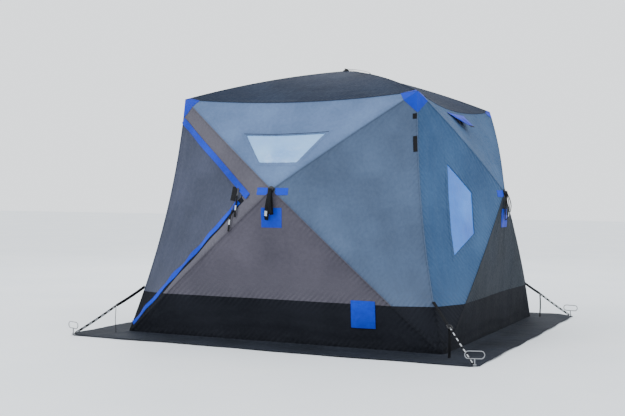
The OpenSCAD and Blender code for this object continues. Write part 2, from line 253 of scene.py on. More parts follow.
class Panel:
    """One triangle of the canopy's cloth, A and B its ends on the outside edge and H its hub."""

    def __init__(s, k, key, a, b, h, e, sa, sb, seed):
        r = rot(k)
        s.k, s.key, s.seed = k, key, seed
        s.a, s.b, s.h = r @ a, r @ b, r @ h
        s.e, s.sa, s.sb = e, sa, sb
        s.length = np.linalg.norm(s.b - s.a)
        s.ex = unit(s.b - s.a)
        w = s.h - s.a
        s.ey = unit(w - s.ex * (w @ s.ex))
        s.n = np.cross(s.ex, s.ey)
        out = s.a + s.b + s.h
        out = np.array([out[0], out[1], 0.0]) if key != "roof" else np.array([0, 0, 1.0])
        s.sign = 1.0 if s.n @ out > 0 else -1.0
        s.n = s.n * s.sign
        s.xh, s.yh = float(w @ s.ex), float(w @ s.ey)
        s.la = math.hypot(s.xh, s.yh)
        s.lb = math.hypot(s.xh - s.length, s.yh)
        s.hub = ("roof" if key == "roof" else WALLS[k]) + "_hub"

    def flat(s, p):
        """Where a point given in the wall's own place lies on the flat cut of the panel."""
        w = rot(s.k) @ np.asarray(p, float) - s.a
        return (float(w @ s.ex), float(w @ s.ey))

    def bary(s, x, y):
        h = y / s.yh
        b = (x - s.xh * h) / s.length
        return 1 - b - h, b, h

    def seam_distances(s, x, y):
        da = np.abs(x * s.yh - y * s.xh) / s.la
        db = np.abs((x - s.length) * s.yh - y * (s.xh - s.length)) / s.lb
        return da, db

    def raw(s, xy):
        x, y = xy[:, 0], xy[:, 1]
        a, b, h = s.bary(x, y)
        da, db = s.seam_distances(x, y)
        q = s.seed
        pos = s.a + np.outer(x, s.ex) + np.outer(y, s.ey)
        pos = pos + np.outer(4 * a * b, s.e) + np.outer(4 * a * h, s.sa) + np.outer(4 * b * h, s.sb)
        fade = smooth(np.minimum(da, db) / 0.075) * smooth((y + 0.004) / 0.06)
        # folds that run out of the two corners
        w = np.zeros(len(x))
        for cx, sg, ph, n1, amp in ((0.0, 1.0, 0.7, 15.0, 0.0052), (s.length, -1.0, 2.1, 17.0, 0.0048)):
            r = np.hypot(x - cx, y) + 1e-6
            phi = np.arctan2(y, sg * (x - cx))
            ridge = (0.5 + 0.5 * np.cos(phi * n1 + ph + q + 0.5 * np.sin(4 * r + q))) ** 2.2
            w += amp * (ridge - 0.35) * np.exp(-((r / 0.42) ** 1.4)) * smooth(r / 0.09)
        # creases that radiate from the hub
        dx, dy = x - s.xh, s.yh - y
        r = np.hypot(dx, dy) + 1e-6
        phi = np.arctan2(dx, dy)
        w += 0.0085 * ((0.5 + 0.5 * np.cos(phi * 17 + q * 2.3 + 2.0 * np.sin(6 * r))) ** 2.0 - 0.35) * np.exp(-r / 0.20) * smooth((r - 0.02) / 0.06)
        # tension lines along the outside edge and slow billows
        w += 0.0030 * np.sin(2 * math.pi * (y + 0.016 * np.sin(5 * x + q)) / 0.088 + q) * np.exp(-y / 0.17) * smooth(a * b * 6)
        w += 0.0050 * np.sin(5.3 * x + 1.9 * y + q) * np.sin(6.1 * y - 1.3 * x + 1.7 * q)
        w += 0.0016 * np.sin(17.0 * x - 9.0 * y + 3 * q) * np.sin(13.0 * y + 7.0 * x + q)
        w -= 0.012 * 27 * np.clip(a * b * h, 0, 1)
        calm = 0.35 if s.key == "roof" else 1.0
        return pos + np.outer(w * fade * calm, s.n)

    def place(s, xy, up=0.0):
        xy = np.asarray(xy, float).reshape(-1, 2)
        d = 0.004
        p = s.raw(xy)
        gx = s.raw(xy + (d, 0)) - s.raw(xy - (d, 0))
        gy = s.raw(xy + (0, d)) - s.raw(xy - (0, d))
        n = np.cross(gx, gy) * s.sign
        n /= np.linalg.norm(n, axis=1)[:, None]
        return p + n * np.asarray(up).reshape(-1, 1), n

    def ends(s):
        """Start and end of the blend: the foot of the hub's height on the outside edge, and just past the hub."""
        foot = s.a + s.ex * s.xh
        return foot, foot + (s.h - foot) * 1.1


PANELS = {}
for k in range(4):
    cl, cr, ev = corner_vec((k + 3) % 4), corner_vec(k), eave_vec(k)
    sn = rot(k) @ WALL_N * SEAM_BOW
    up = np.array([0, 0, ROOF_BOW])
    PANELS[k, "top"] = Panel(k, "top", TL, TR, HB, ev, sn, sn, 0.9 + k)
    PANELS[k, "left"] = Panel(k, "left", TL, BL, HB, cl, sn, sn, 2.2 + k * 1.3)
    PANELS[k, "right"] = Panel(k, "right", TR, BR, HB, cr, sn, sn, 3.6 + k * 0.7)
    PANELS[k, "low"] = Panel(k, "low", BL, BR, HB, rot(k) @ np.array([0, 0.0, 0.0]), sn, sn, 5.1 + k)
    PANELS[k, "roof"] = Panel(k, "roof", TL, TR, PK, ev, up, up, 1.4 + k * 1.7)


# ---------------------------------------------------------------- flat cutting
def resample(poly, step):
    out = []
    for i, p in enumerate(poly):
        q = poly[(i + 1) % len(poly)]
        n = max(1, int(round(math.dist(p, q) / step)))
        out += [(p[0] + (q[0] - p[0]) * j / n, p[1] + (q[1] - p[1]) * j / n) for j in range(n)]
    return out


def inside(poly, xy):
    x, y = xy[:, 0], xy[:, 1]
    hit = np.zeros(len(x), bool)
    for i in range(len(poly)):
        x1, y1 = poly[i - 1]
        x2, y2 = poly[i]
        if y1 == y2:
            continue
        c = (y1 > y) != (y2 > y)
        hit ^= c & (x < (x2 - x1) * (y - y1) / (y2 - y1) + x1)
    return hit


def rim_distance(loops, xy):
    best = np.full(len(xy), 9.0)
    for loop in loops:
        for i in range(len(loop)):
            p, q = np.array(loop[i - 1]), np.array(loop[i])
            d = q - p
            if d @ d < 1e-14:
                continue
            t = np.clip(((xy - p) @ d) / (d @ d), 0, 1)
            best = np.minimum(best, np.hypot(*(xy - (p + np.outer(t, d))).T))
    return best


def cut(poly, holes, step):
    """Triangles over a flat outline with holes."""
    loops = [resample(p, step) for p in [poly, *holes]]
    lo, hi = np.min(poly, 0), np.max(poly, 0)
    nx, ny = int((hi[0] - lo[0]) / step) + 2, int((hi[1] - lo[1]) / (step * 0.866)) + 2
    gx, gy = np.meshgrid(np.arange(nx), np.arange(ny))
    grid = np.stack([lo[0] + (gx + 0.5 * (gy % 2)) * step, lo[1] + gy * step * 0.866], -1).reshape(-1, 2)
    ok = inside(poly, grid)
    for h in holes:
        ok &= ~inside(h, grid)
    grid = grid[ok]
    if len(grid):
        grid = grid[rim_distance([poly, *holes], grid) > 0.5 * step]
    pts, edges = [], []
    for loop in loops:
        n0 = len(pts)
        pts += loop
        edges += [(n0 + i, n0 + (i + 1) % len(loop)) for i in range(len(loop))]
    pts = [Vector(p) for p in pts] + [Vector((float(p[0]), float(p[1]))) for p in grid]
    v, _, f = delaunay_2d_cdt(pts, edges, [], 0, 1e-7)[:3]
    v = np.array([(p[0], p[1]) for p in v])
    f = np.array([t for t in f if len(t) == 3])
    c = v[f].mean(1)
    ok = inside(poly, c)
    for h in holes:
        ok &= ~inside(h, c)
    f = f[ok]
    area = (v[f[:, 1], 0] - v[f[:, 0], 0]) * (v[f[:, 2], 1] - v[f[:, 0], 1]) - (
        v[f[:, 2], 0] - v[f[:, 0], 0]) * (v[f[:, 1], 1] - v[f[:, 0], 1])
    f = f[np.abs(area) > 1e-10]
    area = area[np.abs(area) > 1e-10]
    f[area < 0] = f[area < 0][:, ::-1]
    used = np.unique(f)
    remap = np.full(len(v), -1)
    remap[used] = np.arange(len(used))
    return v[used], remap[f]


def poly_area(poly):
    return abs(sum(poly[i - 1][0] * poly[i][1] - poly[i][0] * poly[i - 1][1] for i in range(len(poly)))) / 2


def clip_poly(poly, keep):
    """The part of a flat outline inside a convex one."""
    ar = sum(keep[i - 1][0] * keep[i][1] - keep[i][0] * keep[i - 1][1] for i in range(len(keep)))
    keep = keep if ar > 0 else keep[::-1]
    for i in range(len(keep)):
        a, b = keep[i - 1], keep[i]
        side = lambda p: (b[0] - a[0]) * (p[1] - a[1]) - (b[1] - a[1]) * (p[0] - a[0])
        out = []
        for j in range(len(poly)):
            p, q = poly[j - 1], poly[j]
            sp, sq = side(p), side(q)
            if (sp >= 0) != (sq >= 0):
                t = sp / (sp - sq)
                out.append((p[0] + (q[0] - p[0]) * t, p[1] + (q[1] - p[1]) * t))
            if sq >= 0:
                out.append(q)
        poly = out
    return poly


# ---------------------------------------------------------------- meshes
def link(obj):
    bpy.context.scene.collection.objects.link(obj)
    return obj


def finish_mesh(name, verts, faces, mats, mat_index=None, uv=None, attrs=None, sharp=50):
    me = bpy.data.meshes.new(name)
    me.from_pydata([tuple(map(float, v)) for v in verts], [], [tuple(int(i) for i in f) for f in faces])
    for m in mats:
        me.materials.append(m)
    if mat_index is not None:
        me.polygons.foreach_set("material_index", np.asarray(mat_index, np.int32))
    if uv is not None:
        layer = me.uv_layers.new(name="UVMap")
        idx = np.zeros(len(me.loops), np.int32)
        me.loops.foreach_get("vertex_index", idx)
        layer.data.foreach_set("uv", np.asarray(uv, np.float32)[idx].ravel())
    for key, values in (attrs or {}).items():
        me.attributes.new(key, "FLOAT", "POINT").data.foreach_set("value", np.asarray(values, np.float32))
    me.polygons.foreach_set("use_smooth", np.ones(len(me.polygons), bool))
    me.update()
    me.set_sharp_from_angle(angle=math.radians(sharp))
    return link(bpy.data.objects.new(name, me))


def shell(outer, inner, f, flip):
    """Faces of a closed cloth from its two layers."""
    n = len(outer)
    front = f if not flip else f[:, ::-1]
    faces = [tuple(t) for t in front] + [tuple(i + n for i in t[::-1]) for t in front]
    seen = {}
    for t in front:
        for i in range(3):
            seen[(int(t[i]), int(t[(i + 1) % 3]))] = True
    rim = [(b, a, a + n, b + n) for (a, b) in seen if (b, a) not in seen]
    return faces + rim, len(front), len(front), len(rim)


def cloth(name, panel, poly, holes=(), up=0.0, t=0.003, step=0.022, mat=None, lining=None, waves=None, slot=None):
    """A closed piece of cloth over part of a panel, up metres above it."""
    v, f = cut([tuple(p) for p in poly], [[tuple(q) for q in h] for h in holes], step)
    lift = np.full(len(v), up) if waves is None else up + waves(v)
    p, n = panel.place(v, lift)
    q = p - n * t
    q[:, 2] = np.maximum(q[:, 2], 0.0003)
    p[:, 2] = np.maximum(p[:, 2], 0.0008)
    faces, a, b, c = shell(p, q, f, panel.sign < 0)
    da, db = panel.seam_distances(v[:, 0], v[:, 1])
    x, y = v[:, 0], v[:, 1]
    along = np.select([(da <= db) & (da <= y), db <= y], [x * panel.xh / panel.la + y * panel.yh / panel.la,
                      (panel.length - x) * (panel.length - panel.xh) / panel.lb + y * panel.yh / panel.lb], x)
    near = np.minimum(np.minimum(da, db), y)
    rim = rim_distance([poly, *holes], v)
    mats = [mat] + ([lining] if lining else [])
    idx = [0] * a + [len(mats) - 1] * b + [0] * c
    obj = finish_mesh(name, np.vstack([p, q]), faces, mats, idx, np.vstack([v, v]),
                      {"seam_d": np.tile(near, 2), "seam_s": np.tile(along, 2), "rim_d": np.tile(rim, 2),
                       "tall": np.tile(p[:, 2], 2)})
    if slot:
        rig.slot(obj, slot)
    return obj


def hang(obj, panel):
    s, e = panel.ends()
    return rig.blend(obj, "canopy", panel.hub, s, e)


def sheet_of(obj, poly, holes=(), held="stretched", rests=()):
    p = np.array(poly)
    best = None
    for i in range(len(p)):
        d = p[i] - p[i - 1]
        if d @ d < 1e-10:
            continue
        d = unit(d)
        q = np.column_stack([p @ d, p @ np.array([-d[1], d[0]])])
        w, l = (q.max(0) - q.min(0)).tolist()
        if best is None or w * l < best[0] * best[1]:
            best = (w, l)
    area = poly_area(poly) - sum(poly_area(h) for h in holes)
    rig.sheet(obj, best, held, rests_on=list(rests), area=float(area))


def sweep(name, pts, sides, profile, mat, closed=False, caps=True, uvscale=1.0, sharp=50):
    """A closed strip or tube: profile is (side, up) pairs round its section, swept along pts."""
    pts, sides = np.asarray(pts, float), np.asarray(sides, float)
    n, m = len(pts), len(profile)
    tang = np.gradient(pts, axis=0) if not closed else np.roll(pts, -1, 0) - np.roll(pts, 1, 0)
    tang /= np.linalg.norm(tang, axis=1)[:, None]
    s = sides - tang * np.sum(sides * tang, 1)[:, None]
    s /= np.linalg.norm(s, axis=1)[:, None]
    u = np.cross(s, tang)
    run = np.concatenate([[0], np.cumsum(np.linalg.norm(np.diff(pts, axis=0), axis=1))])
    verts, uv = [], []
    for i in range(n):
        for a, b in profile:
            verts.append(pts[i] + s[i] * a + u[i] * b)
            uv.append((a * uvscale, run[i] * uvscale))
    faces = []
    for i in range(n if closed else n - 1):
        for j in range(m):
            faces.append((i * m + j, i * m + (j + 1) % m, ((i + 1) % n) * m + (j + 1) % m, ((i + 1) % n) * m + j))
    if caps and not closed:
        faces += [tuple(range(m))[::-1], tuple((n - 1) * m + j for j in range(m))]
    zero = np.zeros(len(verts))
    obj = finish_mesh(name, verts, faces, [mat], None, uv,
                      {"seam_d": zero + 1, "seam_s": zero, "rim_d": zero + 1, "tall": np.array(verts)[:, 2]}, sharp)
    me = obj.data
    import bmesh
    bm = bmesh.new()
    bm.from_mesh(me)
    bmesh.ops.recalc_face_normals(bm, faces=bm.faces)
    bm.to_mesh(me)
    bm.free()
    return obj


def band_profile(w, t):
    r = min(t / 2, w / 2) * 0.8
    return [(-w / 2, -t / 2 + r), (-w / 2 + r, -t / 2), (w / 2 - r, -t / 2), (w / 2, -t / 2 + r),
            (w / 2, t / 2 - r), (w / 2 - r, t / 2), (-w / 2 + r, t / 2), (-w / 2, t / 2 - r)]


def ring_profile(r, n=8, squeeze=1.0):
    return [(r * math.cos(2 * math.pi * i / n), r * squeeze * math.sin(2 * math.pi * i / n)) for i in range(n)]


def curve_points(ctrl, n):
    """A smooth line through the control points."""
    c = np.asarray(ctrl, float)
    d = np.concatenate([[0], np.cumsum(np.linalg.norm(np.diff(c, axis=0), axis=1))])
    ext = np.vstack([2 * c[0] - c[1], c, 2 * c[-1] - c[-2]])
    out = []
    for s in np.linspace(0, d[-1], n):
        i = min(int(np.searchsorted(d, s, side="right")) - 1, len(c) - 2)
        t = (s - d[i]) / (d[i + 1] - d[i])
        p0, p1, p2, p3 = ext[i], ext[i + 1], ext[i + 2], ext[i + 3]
        out.append(0.5 * ((2 * p1) + (p2 - p0) * t + (2 * p0 - 5 * p1 + 4 * p2 - p3) * t * t
                          + (3 * p1 - p0 - 3 * p2 + p3) * t ** 3))
    return np.array(out)


# ---------------------------------------------------------------- materials
def lin(*c):
    out = []
    for v in c:
        v = v / 255
        out.append(v / 12.92 if v <= 0.04045 else ((v + 0.055) / 1.055) ** 2.4)
    return (*out, 1.0)


class Graph:
    def __init__(s, name):
        s.m = bpy.data.materials.new(name)
        s.m.use_nodes = True
        s.t = s.m.node_tree
        s.t.nodes.clear()
        s.out = s.t.nodes.new("ShaderNodeOutputMaterial")
        s.p = s.t.nodes.new("ShaderNodeBsdfPrincipled")
        s.t.links.new(s.p.outputs["BSDF"], s.out.inputs["Surface"])

    def put(s, target, value):
        if isinstance(value, bpy.types.NodeSocket):
            s.t.links.new(value, target)
        else:
            target.default_value = value

    def math(s, op, a, b=None, clamp=False):
        n = s.t.nodes.new("ShaderNodeMath")
        n.operation = op
        n.use_clamp = clamp
        s.put(n.inputs[0], a)
        if b is not None:
            s.put(n.inputs[1], b)
        return n.outputs[0]

    def mix(s, fac, a, b):
        n = s.t.nodes.new("ShaderNodeMix")
        n.data_type = "RGBA"
        s.put(n.inputs[0], fac)
        s.put(n.inputs[6], a)
        s.put(n.inputs[7], b)
        return n.outputs[2]

    def attr(s, name):
        n = s.t.nodes.new("ShaderNodeAttribute")
        n.attribute_name = name
        return n.outputs["Fac"]

    def coords(s, kind="UV"):
        n = s.t.nodes.new("ShaderNodeTexCoord")
        return n.outputs[kind]

    def noise(s, vec, scale, detail=3.0, rough=0.5):
        n = s.t.nodes.new("ShaderNodeTexNoise")
        s.t.links.new(vec, n.inputs["Vector"])
        n.inputs["Scale"].default_value = scale
        n.inputs["Detail"].default_value = detail
        n.inputs["Roughness"].default_value = rough
        return n.outputs["Fac"]

    def sep(s, vec):
        n = s.t.nodes.new("ShaderNodeSeparateXYZ")
        s.t.links.new(vec, n.inputs[0])
        return n.outputs

    def map(s, v, a, b, c, d):
        n = s.t.nodes.new("ShaderNodeMapRange")
        n.clamp = True
        s.put(n.inputs["Value"], v)
        for key, val in (("From Min", a), ("From Max", b), ("To Min", c), ("To Max", d)):
            n.inputs[key].default_value = val
        return n.outputs[0]

    def bump(s, height, strength=1.0, dist=1.0):
        n = s.t.nodes.new("ShaderNodeBump")
        n.inputs["Strength"].default_value = strength
        n.inputs["Distance"].default_value = dist
        s.t.links.new(height, n.inputs["Height"])
        s.t.links.new(n.outputs["Normal"], s.p.inputs["Normal"])

    def set(s, **kw):
        for key, v in kw.items():
            s.put(s.p.inputs[key.replace("_", " ")], v)


def cloth_mat(name, dark, light, rough=0.74, sheen=0.02, spec=0.16, weave=0.0016, dust=None, grime=0.0, seams=True,
              cad=False, quilt=0.0):
    g = Graph(name)
    vec = g.coords("Object" if cad else "UV")
    big = g.noise(vec, 2.3, 4.0)
    fine = g.noise(vec, 38.0, 4.0, 0.6)
    col = g.mix(g.map(big, 0.3, 0.7, 0.0, 1.0), lin(*dark), lin(*light))
    col = g.mix(g.map(fine, 0.35, 0.8, 0.0, 0.18), col, lin(*[max(0, c - 40) for c in dark]))
    xyz = g.sep(vec)
    wx = g.math("SINE", g.math("MULTIPLY", xyz[0], 2 * math.pi / weave))
    wy = g.math("SINE", g.math("MULTIPLY", xyz[1], 2 * math.pi / weave))
    height = g.math("MULTIPLY", g.math("MULTIPLY", wx, wy), 0.00007)
    height = g.math("ADD", height, g.math("MULTIPLY", fine, 0.0016))
    height = g.math("ADD", height, g.math("MULTIPLY", g.noise(vec, 11.0, 5.0, 0.62), 0.006))
    if seams and not cad:
        sd, ss = g.attr("seam_d"), g.attr("seam_s")
        close = g.math("EXPONENT", g.math("MULTIPLY", sd, -38.0))
        puck = g.math("SINE", g.math("ADD", g.math("MULTIPLY", ss, 2 * math.pi / 0.034), g.math("MULTIPLY", fine, 5.0)))
        height = g.math("ADD", height, g.math("MULTIPLY", g.math("MULTIPLY", puck, close), 0.0011))
        ring = g.math("EXPONENT", g.math("MULTIPLY", g.attr("rim_d"), -22.0))
        wave = g.math("SINE", g.math("ADD", g.math("MULTIPLY", g.math("SUBTRACT", xyz[0], xyz[1]), 2 * math.pi / 0.042), g.math("MULTIPLY", big, 14.0)))
        height = g.math("ADD", height, g.math("MULTIPLY", g.math("MULTIPLY", wave, ring), 0.0016))
        # the folded seam allowance: a slight step, and the thread of its stitching
        step = g.map(sd, 0.010, 0.013, 1.0, 0.0)
        height = g.math("ADD", height, g.math("MULTIPLY", step, 0.0011))
        off = g.math("ABSOLUTE", g.math("SUBTRACT", sd, 0.0075))
        line = g.map(off, 0.0007, 0.0016, 1.0, 0.0)
        dash = g.math("GREATER_THAN", g.math("SINE", g.math("MULTIPLY", ss, 2 * math.pi / 0.0065)), -0.35)
        stitch = g.math("MULTIPLY", line, dash)
        height = g.math("SUBTRACT", height, g.math("MULTIPLY", stitch, 0.0004))
        col = g.mix(g.math("MULTIPLY", stitch, 0.55), col, lin(*[c * 0.45 for c in dark]))
        # painted shade: the cloth darkens close to each seam, as shade in the seam line
        col = g.mix(g.math("MULTIPLY", close, 0.28), col, lin(*[c * 0.7 for c in dark]))
    if dust is not None and not cad:
        low = g.map(g.attr("tall"), 0.02, 0.55, 1.0, 0.0)
        col = g.mix(g.math("MULTIPLY", g.math("MULTIPLY", low, g.map(fine, 0.4, 0.7, 0.1, 1.0)), grime), col, lin(*dust))
    g.set(Base_Color=col, Roughness=g.map(fine, 0.3, 0.7, rough - 0.06, rough + 0.08))
    g.p.inputs["Sheen Weight"].default_value = sheen
    g.p.inputs["Sheen Roughness"].default_value = 0.5
    g.p.inputs["Specular IOR Level"].default_value = spec
    g.bump(height)
    return g.m


def webbing_mat(name, dark, light, pitch=0.0022, rough=0.7, fleck=None):
    g = Graph(name)
    vec = g.coords("UV")
    xyz = g.sep(vec)
    fine = g.noise(vec, 160.0, 3.0)
    diag1 = g.math("SINE", g.math("MULTIPLY", g.math("ADD", xyz[0], xyz[1]), 2 * math.pi / pitch))
    diag2 = g.math("SINE", g.math("MULTIPLY", g.math("SUBTRACT", xyz[0], xyz[1]), 2 * math.pi / pitch))
    w = g.math("MAXIMUM", diag1, diag2)
    col = g.mix(g.map(w, -0.2, 1.0, 0.0, 1.0), lin(*dark), lin(*light))
    if fleck:
        dash = g.math("GREATER_THAN", g.math("SINE", g.math("MULTIPLY", xyz[1], 2 * math.pi / 0.052)), -0.1)
        mid = g.math("LESS_THAN", g.math("ABSOLUTE", xyz[0]), 0.0045)
        col = g.mix(g.math("MULTIPLY", g.math("MULTIPLY", dash, mid), 0.85), col, lin(*fleck))
    g.set(Base_Color=col, Roughness=rough)
    g.p.inputs["Sheen Weight"].default_value = 0.0
    g.p.inputs["Specular IOR Level"].default_value = 0.12
    g.bump(g.math("ADD", g.math("MULTIPLY", w, 0.0003), g.math("MULTIPLY", fine, 0.0002)))
    return g.m


def metal_mat(name, col, rough, wear=0.15, scratch=220.0):
    g = Graph(name)
    vec = g.coords("Object")
    n1, n2 = g.noise(vec, 14.0, 5.0), g.noise(vec, scratch, 3.0, 0.7)
    c = g.mix(g.map(n1, 0.35, 0.75, 0.0, wear), lin(*col), lin(*[x * 0.55 for x in col]))
    g.set(Base_Color=c, Metallic=1.0, Roughness=g.map(n1, 0.3, 0.7, rough - 0.05, rough + 0.12))
    g.bump(g.math("MULTIPLY", n2, 0.00012))
    return g.m


def plastic_mat(name, col, rough=0.45, grain=300.0):
    g = Graph(name)
    vec = g.coords("Object")
    n1, n2 = g.noise(vec, 9.0, 4.0), g.noise(vec, grain, 2.0)
    c = g.mix(g.map(n1, 0.3, 0.7, 0.0, 0.35), lin(*col), lin(*[min(255, x * 1.25 + 6) for x in col]))
    g.set(Base_Color=c, Roughness=g.map(n1, 0.3, 0.7, rough - 0.06, rough + 0.1))
    g.bump(g.math("MULTIPLY", n2, 0.0001))
    return g.m


def film_mat(name, low, high):
    g = Graph(name)
    vec = g.coords("UV")
    n1, n2 = g.noise(vec, 3.0, 3.0), g.noise(vec, 14.0, 4.0, 0.6)
    # painted light: the pale blue is partly the film's own tint and mostly the light coming through the clear pane,
    # painted in
    c = g.mix(g.map(n1, 0.3, 0.7, 0.0, 1.0), lin(*low), lin(*high))
    g.set(Base_Color=c, Roughness=g.map(n2, 0.35, 0.75, 0.10, 0.24))
    g.p.inputs["Specular IOR Level"].default_value = 0.4
    g.p.inputs["IOR"].default_value = 1.5
    g.p.inputs["Coat Weight"].default_value = 0.15
    g.p.inputs["Coat Roughness"].default_value = 0.08
    g.p.inputs["Transmission Weight"].default_value = 0.18
    g.bump(g.math("ADD", g.math("MULTIPLY", n2, 0.005), g.math("MULTIPLY", n1, 0.012)))
    return g.m


def mesh_mat(name):
    g = Graph(name)
    vec = g.coords("UV")
    xyz = g.sep(vec)
    a = g.math("ABSOLUTE", g.math("SINE", g.math("MULTIPLY", xyz[0], math.pi / 0.0022)))
    b = g.math("ABSOLUTE", g.math("SINE", g.math("MULTIPLY", xyz[1], math.pi / 0.0022)))
    hole = g.math("MINIMUM", a, b)
    # painted shade: the holes of the screen are coloured near black for the dark inside seen through them
    g.set(Base_Color=g.mix(g.map(hole, 0.35, 0.75, 0.0, 1.0), lin(46, 48, 54), lin(8, 8, 10)), Roughness=0.75)
    g.bump(g.math("MULTIPLY", hole, -0.0006))
    return g.m


def zip_mat(name):
    g = Graph(name)
    xyz = g.sep(g.coords("UV"))
    teeth = g.math("SINE", g.math("MULTIPLY", xyz[1], 2 * math.pi / 0.004))
    mid = g.map(g.math("ABSOLUTE", xyz[0]), 0.0028, 0.0034, 1.0, 0.0)
    # the teeth are lighter than the tape, their own colour; the dark between the teeth is painted shade and the light
    # on their crests painted highlight, along the same wave as the bump
    g.set(Base_Color=g.mix(mid, lin(18, 18, 21), g.mix(g.map(teeth, -0.5, 0.5, 0.0, 1.0), lin(10, 10, 12), lin(52, 53, 57))),
          Roughness=g.map(mid, 0.0, 1.0, 0.85, 0.35))
    g.bump(g.math("MULTIPLY", g.math("MULTIPLY", teeth, mid), 0.0005))
    return g.m


M = {
    "front": cloth_mat("wall_fabric_front", (64, 78, 100), (80, 98, 126), dust=(120, 122, 128), grime=0.25),
    # painted reflection: the top triangles of the front and back walls are the wall cloth made lighter and bluer, as
    # the sky reflected in cloth that faces up
    "front_top_painted_sky": cloth_mat("wall_fabric_front_top", (78, 98, 132), (98, 122, 160)),
    # the bottom triangles of the front and back walls: partly their own cloth, partly a brownish cast painted as the
    # reflection of the ground
    "front_low": cloth_mat("wall_fabric_front_low", (68, 66, 76), (82, 79, 90), dust=(120, 122, 128), grime=0.3),
    "front_fix": cloth_mat("wall_fabric_front_fix", (78, 76, 85), (92, 90, 100), dust=(120, 122, 128), grime=0.2),
    "side": cloth_mat("wall_fabric_side", (42, 70, 104), (60, 90, 126), dust=(120, 122, 128), grime=0.2),
    "side_low": cloth_mat("wall_fabric_side_low", (14, 24, 35), (21, 33, 46), dust=(120, 122, 128), grime=0.1),
    "roof": cloth_mat("roof_fabric", (30, 38, 54), (42, 52, 70), rough=0.8, spec=0.08, sheen=0.0),
    "band": cloth_mat("band_fabric", (17, 19, 25), (29, 31, 38), rough=0.8, sheen=0.0, spec=0.08, dust=(70, 74, 82), grime=0.12),
    "skirt": cloth_mat("skirt_fabric", (18, 22, 30), (34, 39, 49), rough=0.78, sheen=0.0, spec=0.10, seams=False,
                       dust=(110, 116, 126), grime=0.12),
    "bright": cloth_mat("bright_fabric", (8, 39, 148), (17, 63, 202), rough=0.6, seams=False),
    "door": cloth_mat("door_fabric", (54, 59, 74), (69, 74, 93), dust=(120, 122, 128), grime=0.25),
    "lining": cloth_mat("lining", (18, 20, 24), (30, 32, 38), rough=0.8, sheen=0.05),
    "web": webbing_mat("webbing", (8, 8, 10), (24, 25, 29)),
    "web_flecked": webbing_mat("webbing_reflective", (8, 8, 10), (26, 27, 31), fleck=(214, 218, 222)),
    "label": webbing_mat("label_tape", (150, 158, 166), (206, 212, 216), pitch=0.0012),
    # painted light: the front and back panes are clear film painted bright for the light through them; the side copy is
    # the same film painted darker and bluer as shade on the side walls
    "film": film_mat("pane_film", (118, 168, 228), (152, 200, 246)),
    "film_side_painted_shade": film_mat("pane_film_side_painted_shade", (30, 100, 196), (56, 134, 228)),
    "mesh": mesh_mat("mesh_screen"),
    "zip": zip_mat("zip_chain"),
    "buckle": plastic_mat("buckle_plastic", (22, 22, 24), 0.35),
    "eyelet": metal_mat("eyelet_metal", (170, 172, 176), 0.3),
    "hub": metal_mat("hub_metal", (120, 122, 126), 0.38),
    "hub_black": plastic_mat("hub_black", (20, 20, 22), 0.5),
    "rod": plastic_mat("rod_fibre", (26, 26, 28), 0.32, 500.0),
    "sleeve": metal_mat("sleeve_metal", (180, 182, 186), 0.28),
    "steel": metal_mat("anchor_steel", (150, 152, 156), 0.3, 0.4),
    "tape": cloth_mat("touch_tape", (14, 14, 16), (30, 30, 34), rough=0.85, weave=0.0028, seams=False),
}

# ---------------------------------------------------------------- the frame and the small hardware that stay as they are
for n, o in nodes.items():
    pick = None
    if "_rods_" in n:
        pick = "rod"
    elif "_sleeves_" in n:
        pick = "sleeve"
    elif n.endswith("_hub"):
        pick = "hub_black"
    elif n.startswith("anchor_"):
        pick = "steel"
    elif n == "skirt_grommets":
        pick = "eyelet"
    elif "slider" in n:
        pick = "buckle"
    if pick:
        o.data.materials.clear()
        o.data.materials.append(M[pick])
        o.data.polygons.foreach_set("material_index", np.zeros(len(o.data.polygons), np.int32))
        o.data.polygons.foreach_set("use_smooth", np.ones(len(o.data.polygons), bool))
        o.data.set_sharp_from_angle(angle=math.radians(35))

# ---------------------------------------------------------------- canopy
STEP = 0.030 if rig.quick() else 0.021
# the door's outline, and its smaller cut
DOOR_A, DOOR_C = at_height(TL, BL, 1.575), at_height(TL, BL, 0.075)


def on_plane(p, x, z):
    n = np.cross(p[1] - p[0], p[2] - p[0])
    return np.array([x, p[0][1] - (n[0] * (x - p[0][0]) + n[2] * (z - p[0][2])) / n[1], z])


LEFT3, RIGHT3, TOP3, LOW3 = [TL, BL, HB], [TR, HB, BR], [TL, HB, TR], [BL, BR, HB]
DOOR_B = on_plane(LEFT3, -0.235, 1.035)
door_panel_2d = [PANELS[0, "left"].flat(p) for p in (DOOR_A, DOOR_C, DOOR_B)]


def inset2(poly, d):
    """An outline in the flat with each side moved in by its own distance; side i runs from point i to the next."""
    k = len(poly)
    p = [np.array(q, float) for q in poly]
    area = sum(p[i - 1][0] * p[i][1] - p[i][0] * p[i - 1][1] for i in range(k))
    sg = 1 if area > 0 else -1
    m = []
    for i in range(k):
        t = unit(p[(i + 1) % k] - p[i])
        m.append(np.array([-t[1], t[0]]) * sg)
    out = []
    for i in range(k):
        a, b, da, db = m[i - 1], m[i], d[i - 1], d[i]
        c = a @ b
        out.append(tuple(p[i] + a * ((da - c * db) / (1 - c * c)) + b * ((db - c * da) / (1 - c * c))))
    return out


def inset1(poly, d):
    return inset2(poly, [d] * len(poly))


pane_top_3d = [on_plane(TOP3, x, z) for x, z in ((-0.335, 1.485), (-0.150, 1.253), (0.150, 1.253), (0.335, 1.485))]
pane_side_3d = [on_plane(LEFT3, x, z) for x, z in ((-0.715, 1.281), (-0.849, 0.611), (-0.537, 0.769), (-0.468, 1.066))]
vent_u = unit((HB - TL) - (TR - TL) * (((HB - TL) @ (TR - TL)) / ((TR - TL) @ (TR - TL))))
vent_at = mix(TL, TR, 0.46) + vent_u * 0.042
vent_hole_3d = [vent_at + np.array([x, 0, 0]) + vent_u * y for x, y in ((-0.13, 0.014), (-0.045, 0.112), (0.045, 0.112), (0.13, 0.014))]


